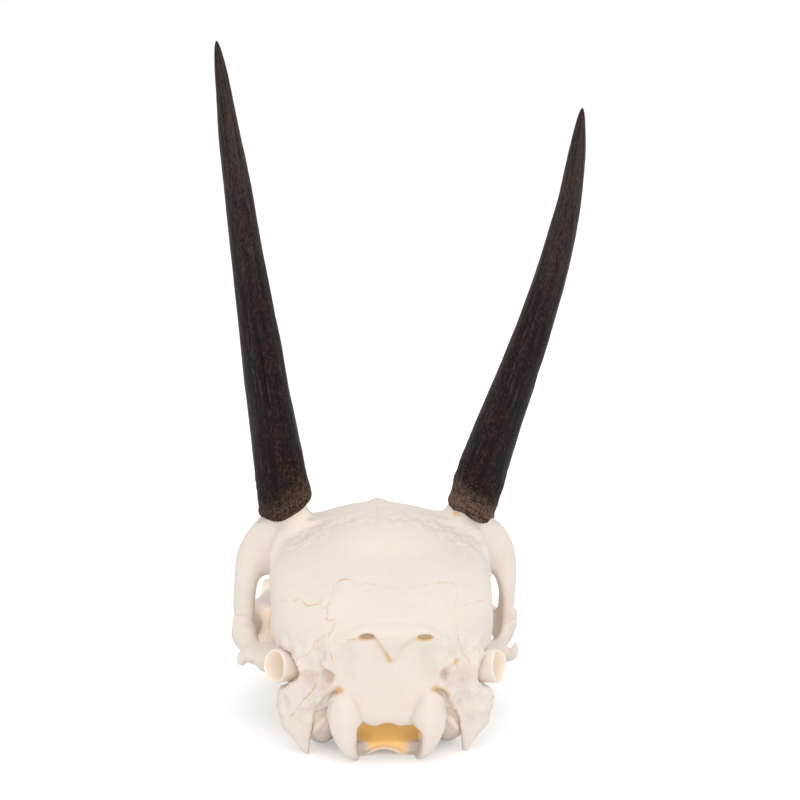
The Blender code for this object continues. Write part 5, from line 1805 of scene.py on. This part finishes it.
def speck_group() -> bpy.types.NodeTree:
    """Small scattered specks: the middles of random cells, where a slow noise allows them."""
    def fill(w: Wiring, given: bpy.types.Node) -> dict[str, object]:
        """Wires the cells and their choice."""
        cells = w.node("ShaderNodeTexVoronoi", {"Vector": given.outputs["Place"],
                                                "Scale": given.outputs["Scale"]})
        near = w.rest(w.step(cells.outputs["Distance"], 0.08, 0.26))
        chosen = w.node("ShaderNodeSeparateColor", {"Color": cells.outputs["Color"]}).outputs[0]
        kept = w.math("LESS_THAN", chosen, given.outputs["Amount"])
        return {"Mask": w.times(near, kept)}

    return group("Specks", {"Place": ("Vector", 0.0), "Scale": ("Float", 1000.0),
                            "Amount": ("Float", 0.2)}, ["Mask"], fill)


@dataclass(frozen=True)
class Groups:
    """The node groups that more than one finish uses."""

    mottle: bpy.types.NodeTree
    specks: bpy.types.NodeTree

    @classmethod
    def made(cls) -> Groups:
        """Makes the groups in this file."""
        return cls(mottle_group(), speck_group())


def use(w: Wiring, tree: bpy.types.NodeTree, **inputs: object) -> bpy.types.NodeSocket:
    """Adds a group to a material's tree and gives its mask."""
    return w.node("ShaderNodeGroup", inputs, node_tree=tree).outputs["Mask"]


def new_material(name: str) -> tuple[bpy.types.Material, Wiring, bpy.types.Node]:
    """A material with its wiring and its Principled shader."""
    made = bpy.data.materials.new(name)
    made.use_nodes = True
    made.cycles.emission_sampling = "NONE"
    return made, Wiring(made.node_tree), made.node_tree.nodes["Principled BSDF"]


Colour = tuple[float, float, float, float]


@dataclass(frozen=True)
class BoneFinish:
    """Dry cleaned bone: cream, greyer pink as painted shade in the hollows, amber where it is stained
    or painted shade falls, and painted light where light would come through.
    """

    pale: Colour = (0.892, 0.803, 0.728, 1.0)
    warm: Colour = (0.87, 0.768, 0.685, 1.0)
    # Painted shade: greyer pink for the hollows, the shade patches and the pores.
    shade: Colour = (0.66, 0.50, 0.41, 1.0)
    # Stains, and painted shade in notches and recesses.
    amber: Colour = (0.77, 0.45, 0.14, 1.0)
    # Painted light: the amber glow of the hollow behind the foramen.
    glow: Colour = (0.76, 0.46, 0.15, 1.0)
    # Painted light: a lighter tint where light would come through the bone.
    lit: Colour = (0.87, 0.73, 0.56, 1.0)
    # Painted shade inside the glowing hollow behind the foramen.
    gloom: Colour = (0.42, 0.24, 0.11, 1.0)
    seam: Colour = (0.76, 0.46, 0.19, 1.0)
    roughness: float = 0.52

    def build(self, groups: Groups) -> bpy.types.Material:
        """Wires the material."""
        made, w, shader = new_material("bone")
        place = w.node("ShaderNodeTexCoord").outputs["Object"]
        mottle = use(w, groups.mottle, Place=place, Scale=110.0)
        base = w.mix(w.times(mottle, 0.8), self.pale, self.warm)
        # Painted shade: greyer pink where the bone is hollow.
        hollow = w.step(w.mask("hollow"), 0.1, 0.4)
        base = w.mix(w.times(hollow, 0.55), base, self.shade)
        broken = use(w, groups.mottle, Place=place, Scale=420.0)
        # Amber: stains, and painted shade in notches and recesses.
        stain_and_shade = w.times(w.mask("amber"), w.scaled(broken, 0.35, 0.75))
        base = w.mix(w.math("MINIMUM", stain_and_shade, 1.0), base, self.amber)
        # Painted light: the hollow behind the foramen glows amber.
        cave = w.mask("cave")
        base = w.mix(cave, base, self.glow)
        # Painted shade patches, browner inside the glowing hollow.
        painted_shade_share = w.times(w.mask("painted_shade_share"), w.scaled(broken, 0.5, 0.6))
        tint = w.mix(cave, self.shade, self.gloom)
        base = w.mix(w.times(painted_shade_share, 0.8), base, tint)
        # Painted light: a lighter tint where light would come through the bone, outside the glowing
        # hollow.
        clear = w.times(w.mask("thin"), w.rest(cave))
        base = w.mix(w.times(clear, 0.42), base, self.lit)
        line = self.suture_line(w, place)
        base = w.mix(line, base, self.seam)
        # Pores darkened with the painted shade colour.
        pores = use(w, groups.specks, Place=place, Scale=2200.0, Amount=0.04)
        base = w.mix(w.times(pores, 0.25), base, self.shade)
        # Painted light: emission, seen by the camera only, in the glowing hollow and where light would
        # come through the bone.
        thin = w.times(w.mask("thin"), 0.34)
        glow = w.times(cave, w.math("SUBTRACT", 0.62, w.times(painted_shade_share, 0.3)))
        light = w.times(w.math("ADD", glow, thin), w.seen())
        w.feed(shader, {
            "Base Color": base, "Roughness": self.roughness, "Specular IOR Level": 0.4,
            "Subsurface Weight": 0.3, "Subsurface Radius": (1.0, 0.5, 0.24),
            "Subsurface Scale": 0.0016, "Emission Strength": light, "Emission Color": base,
            "Normal": self.relief(w, place, pores, line),
        })
        return made

    @staticmethod
    def suture_line(w: Wiring, place: bpy.types.NodeSocket) -> bpy.types.NodeSocket:
        """Thin broken lines where two bones meet or the bone is cracked, and painted shadow lines
        under the crest's lip, wandering a little.
        """
        wander = w.scaled(w.noise(place, 1300.0, 3.0, 0.6), 0.9, -0.45)
        patchy = w.step(w.noise(place, 420.0, 2.0), 0.42, 0.58)
        away = w.math("ABSOLUTE", w.math("ADD", w.mask("crack"), wander))
        fine = w.rest(w.step(away, 0.03, 0.16))
        strength = w.times(w.mask("open"), w.scaled(patchy, 0.75, 0.25))
        away = w.math("ABSOLUTE", w.math("ADD", w.mask("seam"), wander))
        seam = w.times(w.rest(w.step(away, 0.02, 0.14)), 0.3)
        return w.math("MAXIMUM", w.times(fine, strength), w.times(seam, patchy))

    @staticmethod
    def relief(w: Wiring, place: bpy.types.NodeSocket, pores: bpy.types.NodeSocket,
               line: bpy.types.NodeSocket) -> bpy.types.NodeSocket:
        """Grain of dry bone, stronger in the rough band, with pores and sutures sunk in it."""
        grain = w.noise(place, 1500.0, 5.0, 0.6)
        coarse = w.noise(place, 420.0, 3.0)
        pitted = w.times(w.mask("band"), w.noise(place, 800.0, 3.0, 0.6))
        height = w.scaled(grain, 0.25, w.times(coarse, 0.35))
        height = w.scaled(pitted, 3.0, height)
        height = w.math("SUBTRACT", height, w.times(pores, 0.5))
        height = w.math("SUBTRACT", height, w.times(line, 0.8))
        return w.bump(0.35, 0.0003, height)


@dataclass(frozen=True)
class HornFinish:
    """Horn sheath: nearly black, grained and streaked, with tan flecks and wear at its foot."""

    dark: Colour = (0.0075, 0.0042, 0.0043, 1.0)
    brown: Colour = (0.032, 0.0165, 0.0125, 1.0)
    rust: Colour = (0.115, 0.052, 0.03, 1.0)
    grey: Colour = (0.105, 0.092, 0.098, 1.0)
    tip: Colour = (0.088, 0.056, 0.047, 1.0)
    foot: Colour = (0.30, 0.165, 0.095, 1.0)
    worn: Colour = (0.175, 0.108, 0.079, 1.0)
    cleft: Colour = (0.001, 0.001, 0.001, 1.0)

    def build(self, groups: Groups) -> bpy.types.Material:
        """Wires the material."""
        made, w, shader = new_material("horn")
        grain, rise = w.vector("grain"), w.mask("rise")
        fine = w.noise(w.stretched(grain, (1.0, 1.0, 0.55)), 1.5, 6.0, 0.8)
        streak = w.noise(w.stretched(grain, (1.0, 1.0, 0.07)), 0.8, 6.0, 0.7)
        patch = w.noise(w.stretched(grain, (1.0, 1.0, 0.3)), 0.25, 4.0, 0.6)
        tone = w.scaled(fine, 0.55, w.times(streak, 0.45))
        base = w.mix(w.step(tone, 0.46, 0.62), self.dark, self.brown)
        inner = w.scaled(w.mask("inner"), 0.07, patch)
        rust = w.times(w.step(inner, 0.46, 0.6), w.step(fine, 0.48, 0.64))
        base = w.mix(w.times(rust, 0.5), base, self.rust)
        # Grey scuffs: worn patches, partly a painted sheen standing in for highlights.
        scuff_and_sheen = w.times(w.step(patch, 0.5, 0.38), w.step(streak, 0.5, 0.62))
        base = w.mix(w.times(w.times(scuff_and_sheen, w.step(fine, 0.4, 0.6)), 0.6),
                     base, self.grey)
        warm = w.times(w.step(rise, 0.4, 0.9), w.step(tone, 0.4, 0.56))
        base = w.mix(w.times(warm, 0.7), base, self.tip)
        base, low = self.foot_wear(w, base, grain, rise, fine)
        specks = use(w, groups.specks, Place=w.stretched(grain, (1.0, 1.0, 0.6)), Scale=2.4,
                     Amount=0.035)
        base = w.mix(w.times(specks, 0.45), base, self.worn)
        split = self.split_line(w, grain)
        rough = w.scaled(low, 0.3, w.scaled(tone, 0.5, 0.2))
        height = w.scaled(streak, 0.7, w.times(fine, 0.6))
        height = w.math("SUBTRACT", height, w.times(split, 2.0))
        w.feed(shader, {"Base Color": w.mix(split, base, self.cleft), "Roughness": rough,
                        "Specular IOR Level": 0.14, "Normal": w.bump(0.7, 0.0003, height)})
        return made

    def foot_wear(self, w: Wiring, base: bpy.types.NodeSocket, grain: bpy.types.NodeSocket,
                  rise: bpy.types.NodeSocket, fine: bpy.types.NodeSocket) -> tuple:
        """Tan flecks that thicken towards the foot, and grey-brown wear in broken rings.

        Args:
            w: The material's wiring.
            base: The colour so far.
            grain: Place on the horn's skin.
            rise: Share of the horn's length.
            fine: Noise of the grain.

        Returns:
            The colour with the wear, and how worn it is.
        """
        low = w.rest(w.step(rise, 0.0, 0.2))
        lean = w.times(w.mask("inner"), 0.02)
        limit = w.math("SUBTRACT", w.scaled(low, -0.19, 0.74), lean)
        flecks = w.noise(w.stretched(grain, (1.0, 1.0, 1.4)), 2.2, 5.0, 0.8)
        share = w.times(w.math("GREATER_THAN", flecks, limit), w.step(low, 0.0, 0.5))
        base = w.mix(w.times(share, 0.55), base, self.foot)
        rings = w.noise(w.stretched(grain, (0.18, 0.18, 1.2)), 0.9, 5.0, 0.75)
        close = w.rest(w.step(rise, 0.015, 0.075))
        worn = w.times(w.mask("worn"), w.times(close, w.step(rings, 0.44, 0.5)))
        worn = w.times(worn, w.step(fine, 0.4, 0.5))
        return w.mix(worn, base, self.worn), low

    @staticmethod
    def split_line(w: Wiring, grain: bpy.types.NodeSocket) -> bpy.types.NodeSocket:
        """A fine dark split along the horn, wandering as it goes."""
        across, _, along_it = w.node("ShaderNodeSeparateXYZ", {0: grain}).outputs
        level = w.node("ShaderNodeCombineXYZ", {2: along_it}).outputs[0]
        wander = w.scaled(w.noise(level, 0.35, 4.0, 0.6), 1.6, -0.8)
        away = w.math("ABSOLUTE", w.math("ADD", across, wander))
        return w.times(w.mask("split"), w.rest(w.step(away, 0.1, 0.26)))


@dataclass(frozen=True)
class ToothFinish:
    """Enamel: ivory and glossy, brown in the pits and streaked up the sides."""

    enamel: Colour = (0.86, 0.78, 0.66, 1.0)
    stained: Colour = (0.36, 0.21, 0.10, 1.0)

    def build(self, groups: Groups) -> bpy.types.Material:
        """Wires the material."""
        made, w, shader = new_material("tooth")
        place = w.node("ShaderNodeTexCoord").outputs["Object"]
        streaks = use(w, groups.mottle, Place=w.stretched(place, (1.0, 1.0, 0.25)), Scale=500.0)
        pits = w.step(w.mask("pit"), 0.35, 0.85)
        share = w.math("MAXIMUM", w.times(pits, 0.9), w.times(streaks, 0.1))
        w.feed(shader, {"Base Color": w.mix(share, self.enamel, self.stained), "Roughness": 0.28,
                        "Normal": w.bump(0.3, 0.0002, w.noise(place, 1200.0))})
        return made


# The studio


@dataclass(frozen=True)
class Studio:
    """White room with soft light, and the camera at the photograph's view.

    A lamp is its name, its place in metres, its size and its power.
    """

    place: SkullPlace
    target: Point = (5.817, 50.0, 81.324)
    turn: float = -3.4
    height: float = 12.0
    away: float = 800.0
    lens: float = 140.985
    sensor: float = 36.0
    soft: float = 0.72
    haze: float = 0.3
    lamps: tuple = (("top", (0.05, -0.3, 1.4), 1.6, 6.0), ("front", (0.05, -1.35, 0.35), 1.4, 4.6))
    aim: Point = (0.0, 0.0, 0.05)
    white: Colour = (1.0, 1.0, 1.0, 1.0)
    pale: Colour = (0.93, 0.93, 0.93, 1.0)
    reach: float = 3.0

    def build(self) -> None:
        """Sets the camera, the lights, the world and the floor."""
        scene = bpy.context.scene
        scene.view_settings.view_transform = "Standard"
        self.set_camera()
        world = bpy.data.worlds.new("studio")
        world.use_nodes = True
        w = Wiring(world.node_tree)
        strength = w.scaled(w.seen(), 1.0 - self.soft, self.soft)
        w.feed(world.node_tree.nodes["Background"], {"Color": self.white, "Strength": strength})
        scene.world = world
        for lamp in self.lamps:
            self.lamp(*lamp)
        self.floor()

    def view(self) -> Vector:
        """The way the camera looks."""
        turn, height = math.radians(self.turn), math.radians(self.height)
        return Vector((-math.sin(turn) * math.cos(height), math.cos(turn) * math.cos(height),
                       -math.sin(height)))

    def set_camera(self) -> None:
        """Places the camera at its distance behind the skull."""
        camera = bpy.data.objects.new("camera", bpy.data.cameras.new("camera"))
        bpy.context.scene.collection.objects.link(camera)
        target = Vector(self.place.metres(self.target))
        camera.location = target - self.view() * self.away * METRES
        camera.rotation_euler = self.view().to_track_quat("-Z", "Y").to_euler()
        camera.data.sensor_width = self.sensor
        camera.data.lens = self.lens
        bpy.context.scene.camera = camera

    def lamp(self, name: str, at: Point, size: float, power: float) -> None:
        """A square lamp that faces the skull."""
        light = bpy.data.lights.new(name, "AREA")
        light.size = size
        light.energy = power
        thing = bpy.data.objects.new(name, light)
        thing.location = at
        way = Vector(self.aim) - Vector(at)
        thing.rotation_euler = way.to_track_quat("-Z", "Y").to_euler()
        bpy.context.scene.collection.objects.link(thing)

    def floor(self) -> None:
        """A wide pale floor under the teeth."""
        made, w, shader = new_material("floor")
        w.feed(shader, {"Base Color": self.pale, "Roughness": 0.9, "Emission Color": self.white,
                        "Emission Strength": w.times(w.seen(), self.haze)})
        corners = ((-1, -1), (1, -1), (1, 1), (-1, 1))
        mesh = bpy.data.meshes.new("floor")
        mesh.from_pydata([(x * self.reach, y * self.reach, 0) for x, y in corners], [],
                         [(0, 1, 2, 3)])
        mesh.materials.append(made)
        thing = bpy.data.objects.new("floor", mesh)
        bpy.context.scene.collection.objects.link(thing)


def main() -> None:
    """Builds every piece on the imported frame."""
    logging.basicConfig(level=logging.INFO, format="%(message)s", stream=sys.stdout)
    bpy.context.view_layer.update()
    place = SkullPlace.from_frame()
    groups = Groups.made()
    bone, horn, enamel = (finish.build(groups)
                          for finish in (BoneFinish(), HornFinish(), ToothFinish()))
    Cranium(place).build(bone)
    for shape in HORNS:
        if shape.side is Side.LEFT:
            sheath = Sheath(shape, seed=20, split=(30.0, 48.0), wear=0.3)
        else:
            sheath = Sheath(shape, seed=30, swell=0.45, dents=((0.0, 43.0, 2.2, 0.6),), wear=1.0)
        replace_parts(sheath.build(place, horn), f"horn_{shape.side.word}")
    for side in Side:
        for number, tooth in enumerate(CHEEK_TEETH, start=1):
            ToothShape(tooth, side).build(place, enamel, f"tooth_{side.word}_{number}")
    Studio(place).build()


if __name__ == "__main__":
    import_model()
    main()
